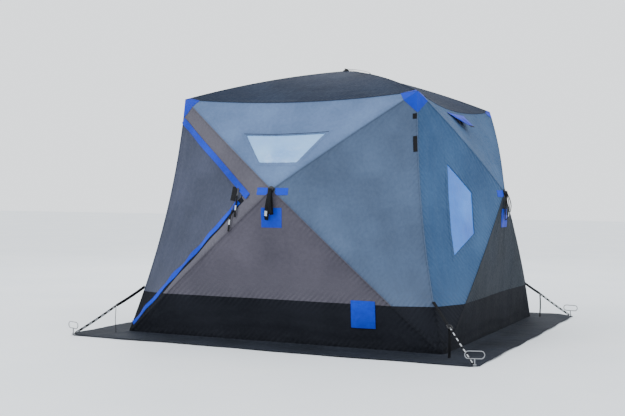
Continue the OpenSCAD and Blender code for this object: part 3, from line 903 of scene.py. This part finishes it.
def wall_panels(k):
    w = WALLS[k]
    main, side = ("front", "front") if k in (0, 2) else ("side", "side")
    pt, pl, pr, pb = (PANELS[k, q] for q in ("top", "left", "right", "low"))
    first = []

    def piece(name, panel, poly, holes=(), mat=None, slot=None, lining=True, **kw):
        o = cloth(name, panel, poly, holes, mat=M[mat], lining=M["lining"] if lining else None, step=STEP, slot=slot, **kw)
        hang(o, panel)
        sheet_of(o, poly, holes, "stretched", [w + "_rods_left", w + "_rods_right"])
        return o

    slot_name = "wall_fabric_front" if k in (0, 2) else "wall_fabric_side"
    # top panel with its window or its vent
    poly = [pt.flat(TL), pt.flat(HB), pt.flat(TR)]
    hole3 = pane_top_3d if k in (0, 2) else vent_hole_3d
    hole = inset1([pt.flat(p) for p in hole3], 0.012)
    o = piece(w + "_top_cloth", pt, poly, [hole], "front_top_painted_sky" if k in (0, 2) else "side", slot_name)
    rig.replaces(o, w + "_wall")
    # left panel
    cut_l = at_height(TL, BL, BAND_H)
    cut_b = at_height(BL, HB, BAND_H)
    if k == 0:
        a, c, b = DOOR_A, DOOR_C, DOOR_B
        up_poly = [pl.flat(p) for p in (TL, a, b, HB)]
        piece(w + "_left_cloth_upper", pl, up_poly, (), "front_fix", slot_name)
        t = (BAND_H - c[2]) / (b[2] - c[2])
        cb = mix(c, b, t)
        lo_poly = [pl.flat(p) for p in (cb, cut_b, HB, b)]
        piece(w + "_left_cloth_lower", pl, lo_poly, (), "front_fix", slot_name)
        bd = piece(w + "_left_band", pl, [pl.flat(p) for p in (c, BL, cut_b, cb)], (), "band", "band_fabric")
        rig.replaces(bd, "lower_band")
    else:
        holes = [inset1([pl.flat(p) for p in pane_side_3d], 0.012)] if k in (1, 3) else []
        piece(w + "_left_cloth", pl, [pl.flat(p) for p in (TL, cut_l, cut_b, HB)], holes, side, slot_name)
        piece(w + "_left_band", pl, [pl.flat(p) for p in (cut_l, BL, cut_b)], (), "band", "band_fabric")
    # right panel
    cut_r, cut_br = at_height(TR, BR, BAND_H), at_height(BR, HB, BAND_H)
    piece(w + "_right_cloth", pr, [pr.flat(p) for p in (TR, HB, cut_br, cut_r)], (), "front" if k in (0, 2) else "side_low", slot_name)
    piece(w + "_right_band", pr, [pr.flat(p) for p in (cut_r, cut_br, BR)], (), "band", "band_fabric")
    # low panel
    piece(w + "_low_cloth", pb, [pb.flat(p) for p in (cut_b, cut_br, HB)], (), "front_low" if k in (0, 2) else "side_low", slot_name)
    piece(w + "_low_band", pb, [pb.flat(p) for p in (BL, BR, cut_br, cut_b)], (), "band", "band_fabric")
    # roof
    pf = PANELS[k, "roof"]
    poly = [pf.flat(p) for p in (TL, TR, PK)]
    o = cloth(w + "_roof_cloth", pf, poly, (), mat=M["roof"], lining=M["lining"], step=STEP, slot="roof_fabric")
    hang(o, pf)
    sheet_of(o, poly, (), "stretched", ["roof_rods_left", "roof_rods_right"])
    if k == 0:
        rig.replaces(o, "roof_canopy")


for k in range(4):
    wall_panels(k)


# seam beads over the rods, and along the corners and eaves
def bead(name, panel, p, q, r, mat, n=60):
    a, b = np.array(panel.flat(p)), np.array(panel.flat(q))
    pts, nn = panel.place([mix(a, b, t) for t in np.linspace(0, 1, n)], 0.0)
    side = np.cross(nn, unit(pts[-1] - pts[0]))
    o = sweep(name, pts, side, ring_profile(r, 8, 0.7), M[mat])
    return o


for k in range(4):
    w = WALLS[k]
    wm = "front" if k in (0, 2) else "side"
    pt, pb, pf, pr = PANELS[k, "top"], PANELS[k, "low"], PANELS[k, "roof"], PANELS[k, "right"]
    for nm, pan, p, q, m in (("tl", pt, TL, HB, "front_fix" if k == 0 else wm), ("tr", pt, TR, HB, wm),
                             ("bl", pb, at_height(BL, HB, BAND_H), HB, "front_low" if k in (0, 2) else "side_low"),
                             ("br", pb, at_height(BR, HB, BAND_H), HB, "front_low" if k in (0, 2) else "side_low"),
                             ("roof", pf, TR, PK, "roof")):
        hang(bead(f"{w}_seam_{nm}", pan, p, q, 0.0026, m), pan)
    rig.ride(bead(f"{w}_seam_eave", pt, TL, TR, 0.0040, "roof"), "canopy")
    foot = at_height(TR, BR, BAND_H)
    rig.ride(bead(f"{w}_seam_corner", pr, TR, foot, 0.0024, "front" if k in (0, 3) else "side"), "canopy")
    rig.ride(bead(f"{w}_seam_corner_band", pr, foot, BR, 0.0024, "band", 20), "canopy")


# ---------------------------------------------------------------- windows and vents
def frame_strip(name, panel, outline3, width, mat, up=0.0012, t=0.0014):
    """A sewn border round an opening."""
    out2 = [panel.flat(p) for p in outline3]
    outer, inner = inset1(out2, -width * 0.62), inset1(out2, width * 0.38)
    o = cloth(name, panel, outer, [inner], up=up, t=t, step=0.016, mat=mat)
    hang(o, panel)
    return o


def pane(name, panel, outline3, mat, slot):
    out2 = [panel.flat(p) for p in outline3]
    poly = inset1(out2, -0.004)
    o = cloth(name, panel, poly, (), up=-0.0036, t=0.0007, step=0.02, mat=M[mat], slot=slot)
    hang(o, panel)
    return o


for k in (0, 2):
    o = pane(WALLS[k] + "_window_pane", PANELS[k, "top"], pane_top_3d, "film", "pane_film")
    frame_strip(WALLS[k] + "_window_border", PANELS[k, "top"], pane_top_3d, 0.022, M["front_top_painted_sky"])
    if k == 0:
        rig.replaces(o, "window_panes")
for k in (1, 3):
    pane(WALLS[k] + "_window_pane", PANELS[k, "left"], pane_side_3d, "film_side_painted_shade", "pane_film")
    frame_strip(WALLS[k] + "_window_border", PANELS[k, "left"], pane_side_3d, 0.022, M["side"])
    p = PANELS[k, "top"]
    poly = inset1([p.flat(q) for q in vent_hole_3d], -0.003)
    o = cloth(WALLS[k] + "_vent_screen", p, poly, (), up=-0.0036, t=0.0006, step=0.02, mat=M["mesh"], slot="mesh_screen")
    hang(o, p)
    if k == 1:
        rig.replaces(o, "vent_screens")

# painted shadow: a thin dark bead of touch-tape cloth along the top edge of each front and back window, standing for
# the shadow in the gap above the pane
for k in (0, 2):
    p = PANELS[k, "top"]
    hang(bead(WALLS[k] + "_window_top_shadow_line", p, pane_top_3d[0], pane_top_3d[3], 0.0032, "tape", 30), p)

# vent hoods, stiffened cloth that stands open
for k in (1, 3):
    w = WALLS[k]
    r = rot(k)
    n = unit(np.cross(HB - TL, TR - TL))
    n = n if n[1] < 0 else -n
    a0 = vent_at + n * 0.006
    d = vent_u * math.cos(math.radians(26)) + n * math.sin(math.radians(26))
    m = unit(np.cross(d, [1.0, 0, 0]))
    m = m if m[2] > 0 else -m
    nu, nv = 28, 12
    pt = PANELS[k, "top"]

    def eave_shift(x):
        flat_at = r @ (vent_at + np.array([x, 0, 0]))
        return r.T @ (pt.place([pt.flat(vent_at + np.array([x, 0, 0]))], 0.0)[0][0] - flat_at)

    top, und, uv = [], [], []
    for j in range(nv + 1):
        v = j / nv
        half = 0.2 * (1 - v) + 0.045 * v
        for i in range(nu + 1):
            s = 2 * i / nu - 1
            arch = 0.011 * (1 - s * s) * math.sin(math.pi * min(1, v * 1.0)) + 0.0012 * math.sin(9 * s + 5 * v)
            p = a0 + eave_shift(s * half) + np.array([s * half, 0, 0]) + d * 0.168 * v + m * (arch if 0 < j else 0)
            top.append(r @ (p + m * 0.0))
            und.append(r @ (p - m * 0.0026))
            uv.append((s * half, v * 0.168))
    f = []
    for j in range(nv):
        for i in range(nu):
            q = j * (nu + 1) + i
            f += [(q, q + 1, q + nu + 2), (q, q + nu + 2, q + nu + 1)]
    f = np.array(f)
    faces, fa, fb, fc = shell(np.array(top), np.array(und), f, False)
    e1, e2 = np.array(top)[f[0][1]] - np.array(top)[f[0][0]], np.array(top)[f[0][2]] - np.array(top)[f[0][0]]
    if np.cross(e1, e2) @ (r @ m) < 0:
        faces = [t[::-1] for t in faces]
    zero = np.zeros(2 * len(top))
    tip = [1 if (np.mean([uv[i % len(uv)][1] for i in t]) > 0.150) else 0 for t in faces]
    o = finish_mesh(w + "_vent_hood_cloth", top + und, faces, [M["bright"], M["web"]], tip, uv + uv,
                    {"seam_d": zero + 1, "seam_s": zero, "rim_d": zero + 1, "tall": zero + 1.6})
    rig.slot(o, "bright_fabric")
    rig.replaces(o, w + "_vent_hood")
    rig.ride(o, w + "_vent_hood")
    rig.sheet(o, (0.4, 0.1681), "stretched", rests_on=["canopy"], area=0.168 * 0.245)

# ---------------------------------------------------------------- caps, patches and tapes sewn on
first_cap = None
for k in range(4):
    w = WALLS[k]
    pt, pl, pr, pf = (PANELS[k, q] for q in ("top", "left", "right", "roof"))

    def toward(a, b, dd):
        return a + unit(b - a) * dd

    small, big_ = (0.150, 0.112) if k in (0, 1) else (0.120, 0.125)
    for nm, pan, tri in (
        ("top_a", pt, (TL, toward(TL, HB, big_), toward(TL, TR, 0.125))),
        ("top_b", pt, (TR, toward(TR, HB, big_), toward(TR, TL, 0.125))),
        ("left", pl, (TL, toward(TL, HB, big_), toward(TL, BL, small))),
        ("right", pr, (TR, toward(TR, HB, big_), toward(TR, BR, small))),
        ("roof_a", pf, (TL, toward(TL, PK, 0.030), toward(TL, TR, 0.125))),
        ("roof_b", pf, (TR, toward(TR, PK, 0.030), toward(TR, TL, 0.125))),
    ):
        poly = [pan.flat(q) for q in tri]
        o = cloth(f"{w}_cap_{nm}", pan, poly, (), up=0.0024, t=0.0016, step=0.016, mat=M["bright"], slot="bright_fabric")
        hang(o, pan)
        if first_cap is None:
            first_cap = o
            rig.replaces(o, "corner_caps")

first = None
for k in range(4):
    w = WALLS[k]
    pb, pl, pr = PANELS[k, "low"], PANELS[k, "left"], PANELS[k, "right"]
    q3 = [on_plane(LOW3, x, z) for x, z in ((-0.078, 0.945), (-0.078, 0.808), (0.078, 0.808), (0.078, 0.945))]
    o = cloth(w + "_hub_patch", pb, [pb.flat(q) for q in q3], (), up=0.0022, t=0.0015, step=0.014, mat=M["bright"], slot="bright_fabric")
    hang(o, pb)
    if first is None:
        first = o
        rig.replaces(o, "hub_patches")
    for sx, pan, tri, nm in ((-1, pl, LEFT3, "l"), (1, pr, RIGHT3, "r")):
        poly = [pan.flat(on_plane(tri, sx * x, z)) for x, z in ((0.118, 1.083), (0.118, 1.034), (0.030, 1.034), (0.030, 1.083))]
        poly = clip_poly(poly, [(0, 0), (pan.length, 0), (pan.xh, pan.yh)])
        o = cloth(f"{w}_hub_tape_{nm}", pan, poly, (), up=0.0024, t=0.0015, step=0.012, mat=M["bright"], slot="bright_fabric")
        hang(o, pan)

# hook-and-loop tapes beside the front-right corner edge
pan = PANELS[0, "right"]
for j, (z0, z1) in enumerate(((1.600, 1.563), (1.445, 1.338))):
    a2, b2 = np.array(pan.flat(at_height(TR, BR, z0))), np.array(pan.flat(at_height(TR, BR, z1)))
    wv = np.array([0.0, 1.0])
    poly = [tuple(q) for q in (a2 + wv * 0.004, b2 + wv * 0.004, b2 + wv * 0.034, a2 + wv * 0.034)]
    o = cloth(f"touch_tape_{j}", pan, poly, (), up=0.0024, t=0.0015, step=0.012, mat=M["tape"], slot="webbing")
    hang(o, pan)
    if j == 0:
        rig.replaces(o, "touch_tapes")

# ---------------------------------------------------------------- door
pl = PANELS[0, "left"]
d2 = [np.array(p) for p in door_panel_2d]
door_cut = inset2(door_panel_2d, [0.004, 0.009, 0.009])
t_band = (BAND_H - DOOR_C[2]) / (DOOR_B[2] - DOOR_C[2])
band_line_a = np.array(pl.flat(at_height(TL, BL, BAND_H)))
band_line_b = np.array(pl.flat(mix(DOOR_C, DOOR_B, t_band)))
band_dir = unit(band_line_b - band_line_a)
far = [tuple(band_line_a - band_dir * 3), tuple(band_line_b + band_dir * 3)]


def half(poly, a, b, sign):
    """The part of an outline on one side of a line."""
    side = lambda p: sign * ((b[0] - a[0]) * (p[1] - a[1]) - (b[1] - a[1]) * (p[0] - a[0]))
    out = []
    for j in range(len(poly)):
        p, q = poly[j - 1], poly[j]
        sp, sq = side(p), side(q)
        if (sp >= 0) != (sq >= 0):
            t = sp / (sp - sq)
            out.append((p[0] + (q[0] - p[0]) * t, p[1] + (q[1] - p[1]) * t))
        if sq >= 0:
            out.append(q)
    return out


side_a = (far[1][0] - far[0][0]) * (d2[0][1] - far[0][1]) - (far[1][1] - far[0][1]) * (d2[0][0] - far[0][0])
sg = 1 if side_a > 0 else -1
upper_door, lower_door = half(door_cut, *far, sg), half(door_cut, *far, -sg)
o = cloth("door_cloth", pl, upper_door, (), up=-0.0004, t=0.003, step=STEP, mat=M["door"], lining=M["lining"], slot="door_fabric")
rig.replaces(o, "door_panel")
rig.ride(o, "door")
sheet_of(o, upper_door, (), "hung", ["front_left_cloth_upper"])
o = cloth("door_band", pl, lower_door, (), up=-0.0004, t=0.003, step=STEP, mat=M["band"], lining=M["lining"], slot="band_fabric")
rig.ride(o, "door")
sheet_of(o, lower_door, (), "hung", ["front_left_cloth_upper"])

# zip chain along the door's two free sides
zip_line = inset2(door_panel_2d, [0.004, 0.0045, 0.0045])
for nm, i in (("upper", 0), ("lower", 1)):
    a, b = np.array(zip_line[i]), np.array(zip_line[2])
    u = unit(b - a)
    ts = np.linspace(0, 1, 90)
    line = [a + u * 0.006 + (b - u * 0.02 - a - u * 0.006) * t for t in ts]
    pts, nn = pl.place(line, 0.0002)
    tg = np.gradient(pts, axis=0)
    o = sweep(f"door_zip_{nm}", pts, np.cross(nn, tg), band_profile(0.009, 0.0024), M["zip"])
    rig.ride(o, "door")
    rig.slot(o, "zip_chain")
    if nm == "upper":
        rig.replaces(o, "door_zip")

def slider(name, i, off, body, lean_x):
    """A zip slider on the chain, its tab and a webbing pull that hangs down the door."""
    u = unit(np.array(zip_line[i]) - np.array(zip_line[2]))
    c = np.array(zip_line[2]) + u * off
    pts, nn = pl.place([c + u * s for s in np.linspace(-0.014, 0.014, 6)], 0.0075)
    o = sweep(name + "_body", pts, np.cross(nn, np.gradient(pts, axis=0)), band_profile(0.012, 0.0050), M["buckle"])
    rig.ride(o, body)
    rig.replaces(o, body)
    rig.slot(o, "buckle_plastic")
    down = unit(np.array([-pl.ex[2], -pl.ey[2]]))
    perp = np.array([-down[1], down[0]])
    for part, s0, s1, wd, th, mt in (("tab", 0.0, 0.050, 0.009, 0.0020, "buckle"), ("pull", 0.046, 0.200, 0.017, 0.0018, "web"),
                                     ("tape", 0.118, 0.152, 0.013, 0.0010, "label")):
        ss = np.linspace(s0, s1, 24)
        line = [c + down * s + perp * lean_x * math.sin(s * 9) for s in ss]
        lift = 0.0105 + 0.006 * np.sin(ss * 15) + (0.0022 if part == "tape" else 0)
        pts, nn = pl.place(line, lift)
        o = sweep(f"{name}_{part}", pts, np.cross(nn, np.gradient(pts, axis=0)), band_profile(wd, th), M[mt])
        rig.ride(o, body)


slider("upper_slider", 0, 0.060, "upper_zip_slider", 0.012)
slider("lower_slider", 1, 0.095, "lower_zip_slider", -0.010)
patch3 = [on_plane(LEFT3, x, z) for x, z in ((-0.352, 1.090), (-0.360, 0.992), (-0.312, 0.986), (-0.304, 1.084))]
o = cloth("door_touch_tape", pl, [pl.flat(q) for q in patch3], (), up=0.0018, t=0.0015, step=0.012, mat=M["tape"], slot="webbing")
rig.ride(o, "door")

# bright storm flaps over the zip, sewn to the fixed cloth
w_up = unit(d2[2] - d2[0])
n_up = np.array([-w_up[1], w_up[0]])
n_up = n_up if n_up @ (d2[1] - d2[0]) < 0 else -n_up
tip_ext = d2[2] + w_up * 0.045
up_flap = [tuple(d2[0] - n_up * 0.004), tuple(d2[0] + n_up * 0.044), tuple(tip_ext + n_up * 0.036), tuple(tip_ext - n_up * 0.010)]
tri2 = [(0, 0.0), (pl.length, 0.0), (pl.xh, pl.yh)]
up_flap = clip_poly(up_flap, tri2)


def flap_wave(origin, along, normal, width, amp, length, ph):
    def f(v):
        s = (v - origin) @ along
        o = 1 - np.clip(((v - origin) @ normal) / width, 0, 1)
        return o * amp * (0.55 + 0.45 * np.sin(2 * math.pi * s / length + ph + 0.8 * np.sin(7 * s)))
    return f


o = cloth("door_flap_upper", pl, up_flap, (), up=0.0040, t=0.0020, step=0.013, mat=M["bright"], slot="bright_fabric",
          waves=flap_wave(d2[0], w_up, n_up, 0.045, 0.006, 0.31, 0.4))
hang(o, pl)
sheet_of(o, up_flap, (), "hung", ["front_left_cloth_upper"])
w_lo = unit(d2[2] - d2[1])
n_lo = np.array([-w_lo[1], w_lo[0]])
n_lo = n_lo if n_lo @ (d2[0] - d2[1]) < 0 else -n_lo
span = np.linalg.norm(d2[2] - d2[1])


def wavy_strip(o0, along, normal, length, inner, outer, n=40):
    a = [o0 + along * (length * i / n) + normal * (inner + 0.005 * math.sin(i * 1.05)) for i in range(n + 1)]
    b = [o0 + along * (length * i / n) + normal * (outer + 0.004 * math.sin(i * 0.8 + 1)) for i in range(n + 1)]
    return [tuple(q) for q in a + b[::-1]]


lo_flap = wavy_strip(d2[1] + w_lo * 0.012, w_lo, n_lo, span - 0.075, -0.003, 0.026)
o = cloth("door_flap_lower", pl, lo_flap, (), up=0.0040, t=0.0018, step=0.013, mat=M["bright"], slot="bright_fabric",
          waves=flap_wave(d2[1], w_lo, n_lo, 0.03, 0.010, 0.26, 1.9))
hang(o, pl)
sheet_of(o, lo_flap, (), "hung", ["front_left_cloth_lower"])
# painted shadow: a dark strip of band cloth under the lower flap, standing for the shadow that the flap casts
lo_flap_shadow = wavy_strip(d2[1] + w_lo * 0.004, w_lo, n_lo, span - 0.03, 0.0, 0.040, 30)
o = cloth("door_lower_flap_shadow", pl, lo_flap_shadow, (), up=0.0014, t=0.0012, step=0.015, mat=M["band"], slot="webbing")
hang(o, pl)
# the outline of a small facing at the door's tip; nothing is built from it
tip_face = [tuple(d2[2] + w_up * a + n_up * b) for a, b in ((-0.10, -0.005), (0.06, -0.005), (0.06, -0.055), (0.0, -0.075), (-0.02, -0.06))]

# ---------------------------------------------------------------- snow skirt
def skirt_z(x, y):
    r = np.maximum(np.abs(x), np.abs(y))
    wall = smooth((r - BASE) / 0.06)
    free = smooth((r - BASE) / 0.30)
    wave = (np.sin(5.2 * x + 1.1 + 0.6 * np.sin(3 * y)) * np.sin(4.7 * y + 0.5) * 0.5
            + 0.5 * np.sin(9.1 * x - 3.0 * y + 2.0) * np.cos(8.3 * y + 1.7 * x))
    ripple = 0.35 * np.sin(23 * (x + y) + 2 * np.sin(6 * (x - y))) * np.sin(19 * (x - y))
    z = 0.0052 + 0.010 * free * (0.5 + 0.5 * wave) + 0.0035 * wall * ripple
    # a soft heap where the cloth turns out of the wall
    z += 0.012 * np.exp(-((r - BASE) / 0.035) ** 2)
    for sx in (-1, 1):
        for sy in (-1, 1):
            d = np.hypot(x - sx * 1.506, y - sy * 1.506)
            k = smooth((d - 0.022) / 0.10)
            z = z * k + 0.0040 * (1 - k)
    return np.maximum(z, 0.0030)


OUT = 1.531


def skirt_outline():
    pts = []
    for k in range(4):
        r = rot(k)[:2, :2]
        for i in range(61):
            s = -1 + 2 * i / 60
            if abs(s) > 0.994:
                continue
            bulge = (0.026 if k == 0 else 0.010) * (1 - s ** 4) * (0.55 + 0.45 * math.sin(5.1 * s + 1.3 * k)) + 0.005 * math.sin(17 * s + k)
            pts.append(tuple(r @ np.array([s * OUT, -OUT - bulge * (1 if abs(s) < 0.95 else 0.4)])))
    return pts


sk_out = skirt_outline()
sk_in = [(-BASE + 0.010, -BASE + 0.010), (BASE - 0.010, -BASE + 0.010), (BASE - 0.010, BASE - 0.010), (-BASE + 0.010, BASE - 0.010)]
ring = lambda cx, cy, r: [(cx + r * math.cos(2 * math.pi * i / 16), cy + r * math.sin(2 * math.pi * i / 16)) for i in range(16)]
sk_holes = [sk_in] + [ring(sx * 1.506, sy * 1.506, 0.009) for sx in (-1, 1) for sy in (-1, 1)]
v, f = cut(sk_out, sk_holes, 0.034 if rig.quick() else 0.026)
zt = skirt_z(v[:, 0], v[:, 1])
top = np.column_stack([v, zt])
und = np.column_stack([v, zt - 0.0026])
faces, fa, fb, fc = shell(top, und, f, False)
rim = rim_distance([sk_out, *sk_holes], v)
o = finish_mesh("snow_skirt_cloth", np.vstack([top, und]), faces, [M["skirt"]], None, np.vstack([v, v]),
                {"seam_d": np.tile(rim, 2), "seam_s": np.zeros(2 * len(v)), "rim_d": np.tile(rim, 2), "tall": np.tile(zt, 2)})
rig.replaces(o, "snow_skirt")
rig.ride(o, "canopy")
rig.slot(o, "skirt_fabric")
lo, hi = v.min(0), v.max(0)
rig.sheet(o, (float(hi[0] - lo[0]), float(hi[1] - lo[1])), "laid", rests_on=["ice"],
         area=poly_area(sk_out) - sum(poly_area(h) for h in sk_holes))

# hem bead round the skirt's edge
n_out = 420
hem = resample(sk_out, 0.03)
hem = np.array(hem)
hz = skirt_z(hem[:, 0], hem[:, 1]) - 0.0012
hem3 = np.column_stack([hem, hz])
o = sweep("snow_skirt_hem", hem3, np.tile([0, 0, 1.0], (len(hem3), 1)), ring_profile(0.0026, 6), M["skirt"], closed=True)
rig.ride(o, "canopy")


# ---------------------------------------------------------------- straps
def guy(k):
    w = ["front_right", "back_right", "back_left", "front_left"][k]
    r = rot(k)
    out = unit([1, -1, 0])
    a = at_height(TR, BR, 0.342) + out * 0.004
    # the cloth's edge bows in, so the strap starts at the bowed edge
    pr = PANELS[k, "right"]
    e2 = np.array(pr.flat(at_height(TR, BR, 0.342)))
    a_w = pr.place([e2], 0.003)[0][0]
    b = np.array([1.496, -1.496, 0.014])
    b_w = r @ b
    m_w = mix(a_w, b_w, 0.42)
    d = unit(b_w - a_w)
    side = r @ unit([1, 1, 0])
    turn = unit(np.cross(side, d))
    turn = turn if turn[2] > 0 else -turn
    face = side if k == 0 else unit(side * 0.45 + turn * 0.9)
    for nm, p, q, wd, mt in (("upper", a_w, m_w - d * 0.004, 0.025, "web"), ("lower", m_w + d * 0.004, b_w, 0.020, "web_flecked")):
        pts = np.array([mix(p, q, t) for t in np.linspace(0, 1, 30)])
        sag = 0.004 * np.sin(np.pi * np.linspace(0, 1, 30))
        pts[:, 2] -= sag
        o = sweep(f"guy_strap_{w}_{nm}", pts, np.tile(face, (30, 1)), band_profile(wd, 0.0020), M[mt])
        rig.ride(o, "canopy")
        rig.slot(o, "webbing")
        if k == 0 and nm == "upper":
            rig.replaces(o, "guy_straps")
        length = float(np.sum(np.linalg.norm(np.diff(pts, axis=0), axis=1)))
        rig.cord(o, pts[0], length, wd, "object", stiffness="medium", lay="taut",
                path=[list(map(float, q)) for q in pts])
    # upright leg to the skirt
    foot = np.array([m_w[0], m_w[1], float(skirt_z(np.array([m_w[0]]), np.array([m_w[1]]))[0]) + 0.001])
    pts = curve_points([m_w - [0, 0, 0.008], mix(m_w, foot, 0.5) + r @ np.array([0.003, -0.003, 0]), foot], 16)
    o = sweep(f"guy_leg_{w}", pts, np.tile(side, (16, 1)), band_profile(0.020, 0.0020), M["web"])
    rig.ride(o, "canopy")
    # buckle: a frame with two bars
    up = unit(np.cross(side, d))
    up = up if up[2] > 0 else -up
    c = m_w + up * 0.001
    corners = [(-0.016, -0.017), (0.016, -0.017), (0.016, 0.017), (-0.016, 0.017)]
    loop = []
    for i in range(4):
        p0, p1 = np.array(corners[i]), np.array(corners[(i + 1) % 4])
        for t in (0.12, 0.5, 0.88):
            q = p0 + (p1 - p0) * t
            loop.append(c + side * q[0] + d * q[1])
    o = sweep(f"guy_buckle_{w}", np.array(loop), np.tile(up, (len(loop), 1)), ring_profile(0.0030, 8), M["buckle"], closed=True)
    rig.ride(o, "canopy")
    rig.slot(o, "buckle_plastic")
    if k == 0:
        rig.replaces(o, "strap_buckles")
    for j, off in enumerate((-0.006, 0.007)):
        pts = np.array([c + side * s + d * off for s in np.linspace(-0.016, 0.016, 6)])
        o = sweep(f"guy_buckle_bar_{w}_{j}", pts, np.tile(up, (6, 1)), ring_profile(0.0024, 8), M["buckle"])
        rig.ride(o, "canopy")


for k in range(4):
    guy(k)


def pull_strap(name, mat4, body, node, label=True, bow=0.016):
    """Webbing folded over the hub's pin, its two legs side by side, with a pale tab sewn near its end."""
    def place(p):
        return np.array(mat4 @ Vector(p))[:3]
    ctrl = [(0, 0.0035, 0.002), (0, 0.0005, 0.0052), (0, -0.0040, 0.003), (0, -0.0052, -0.010), (0, -0.0052 - bow * 0.7, -0.07),
            (0, -0.006 - bow, -0.13), (0, -0.008 - bow * 0.6, -0.19), (0, -0.0070, -0.212), (0, -0.0030, -0.213),
            (0, -0.0020, -0.190), (0, -0.0012, -0.13), (0, -0.0010, -0.07), (0, 0.0012, -0.012), (0, 0.0035, 0.002)]
    pts = curve_points(ctrl, 110)[:-1]
    pts = np.array([place(p) for p in pts])
    side = np.array(mat4.to_3x3() @ Vector((1, 0, 0)))
    o = sweep(name, pts, np.tile(side, (len(pts), 1)), band_profile(0.025, 0.0016), M["web"], closed=True)
    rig.ride(o, body)
    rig.slot(o, "webbing")
    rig.replaces(o, node)
    if label:
        ctrl = [(0, -0.0086 - bow * 0.9, -0.150), (0, -0.0098 - bow * 0.62, -0.185)]
        pts = np.array([place(p) for p in curve_points(ctrl, 5)])
        o = sweep(name + "_tab", pts, np.tile(side, (len(pts), 1)), band_profile(0.019, 0.0010), M["label"])
        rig.ride(o, body)


rod_hub = HB - WALL_N * 0.032
pin_at = rod_hub + WALL_N * 0.045
for k in range(4):
    w = WALLS[k]
    mat4 = Matrix.Rotation(math.radians(90 * k), 4, "Z") @ Matrix.Translation(Vector(pin_at))
    pull_strap(w + "_pull_webbing", mat4 @ Matrix.Rotation(math.radians(7), 4, "Y"), w + "_pull_strap", w + "_pull_strap", bow=0.024)
    pull_strap(w + "_pull_webbing_loop", mat4 @ Matrix.Translation((0, -0.004, 0)) @ Matrix.Rotation(math.radians(-5), 4, "Y")
               @ Matrix.Scale(0.82, 4), w + "_pull_strap", w + "_pull_strap", label=False, bow=0.034)
mat4 = (Matrix.Translation(Vector((0, 0, PEAK_H - 0.034 + 0.034 + 0.013))) @ Matrix.Rotation(math.radians(-77), 4, "Y")
        @ Matrix.Rotation(math.radians(90), 4, "Z"))
pull_strap("roof_pull_webbing", mat4, "roof_pull_strap", "roof_pull_strap", bow=0.010)

# ---------------------------------------------------------------- cord port flap
pb = PANELS[0, "low"]
q3 = [on_plane(LOW3, x, z) for x, z in ((0.583, 0.334), (0.583, 0.153), (0.755, 0.153), (0.755, 0.334))]
poly = [pb.flat(q) for q in q3]
top_y = max(p[1] for p in poly)
o = cloth("cord_port_cloth", pb, poly, (), up=0.0050, t=0.0025, step=0.014, mat=M["bright"], slot="bright_fabric",
          waves=lambda v: 0.004 * (top_y - v[:, 1]) / 0.18 * (0.6 + 0.4 * np.sin(38 * v[:, 0])))
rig.replaces(o, "cord_port_flap")
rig.ride(o, "cord_port_flap")
sheet_of(o, poly, (), "hung", ["front_low_cloth"])

# gussets inside the corners stay, in webbing black
for n in ("corner_pockets", "foot_pockets"):
    ob = nodes[n]
    ob.data.materials.clear()
    ob.data.materials.append(plastic_mat("gusset_webbing_" + n, (22, 22, 25), 0.7))
    ob.data.polygons.foreach_set("material_index", np.zeros(len(ob.data.polygons), np.int32))

# ---------------------------------------------------------------- floor, light and camera
me = bpy.data.meshes.new("floor")
me.from_pydata([(-40, -40, 0), (40, -40, 0), (40, 40, 0), (-40, 40, 0)], [], [(0, 1, 2, 3)])
floor = link(bpy.data.objects.new("floor", me))
g = Graph("floor_pale")
n1 = g.noise(g.coords("Object"), 0.8, 5.0)
g.set(Base_Color=g.mix(g.map(n1, 0.3, 0.7, 0.0, 1.0), lin(232, 237, 241), lin(240, 243, 246)), Roughness=0.62)
me.materials.append(g.m)
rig.stage(floor)

world = bpy.data.worlds.new("studio")
world.use_nodes = True
world.node_tree.nodes["Background"].inputs[0].default_value = (0.93, 0.965, 1.0, 1)
world.node_tree.nodes["Background"].inputs[1].default_value = 1.8
bpy.context.scene.world = world


def area_light(name, at, to, size, power, color=(1, 1, 1)):
    ld = bpy.data.lights.new(name, "AREA")
    ld.shape = "DISK"
    ld.size = size
    ld.energy = power
    ld.color = color
    ob = link(bpy.data.objects.new(name, ld))
    ob.location = at
    ob.rotation_euler = (Vector(to) - Vector(at)).to_track_quat("-Z", "Y").to_euler()
    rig.stage(ob)


area_light("key", (-4.5, -6.5, 6.5), (0, 0, 0.9), 4.5, 260, (1.0, 0.98, 0.95))
area_light("fill", (7.5, -3.0, 5.0), (0, 0, 0.9), 4.0, 60, (0.92, 0.96, 1.0))
area_light("rim", (-3.5, 6.5, 5.5), (0, 0, 1.2), 3.5, 160)

yaw, pitch, roll = 0.43361, 0.01181, 0.00858
fw = Vector((-math.sin(yaw) * math.cos(pitch), math.cos(yaw) * math.cos(pitch), -math.sin(pitch)))
rt = Vector((math.cos(yaw), math.sin(yaw), 0))
upv = rt.cross(fw)
R = rt * math.cos(roll) + upv * math.sin(roll)
U = -rt * math.sin(roll) + upv * math.cos(roll)
cam_data = bpy.data.cameras.new("camera")
cam_data.sensor_width = 36
cam_data.sensor_fit = "HORIZONTAL"
cam_data.lens = 36 * 1032.06 / 625
cam = link(bpy.data.objects.new("camera", cam_data))
m3 = Matrix((R, U, -fw)).transposed()
cam.matrix_world = Matrix.Translation(Vector((3.2360, -7.6070, 1.0316))) @ m3.to_4x4()
bpy.context.scene.camera = cam

json.dump({"cad": cad_box, "visual": [list(p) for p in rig.bounds()]}, open("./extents.json", "w"))
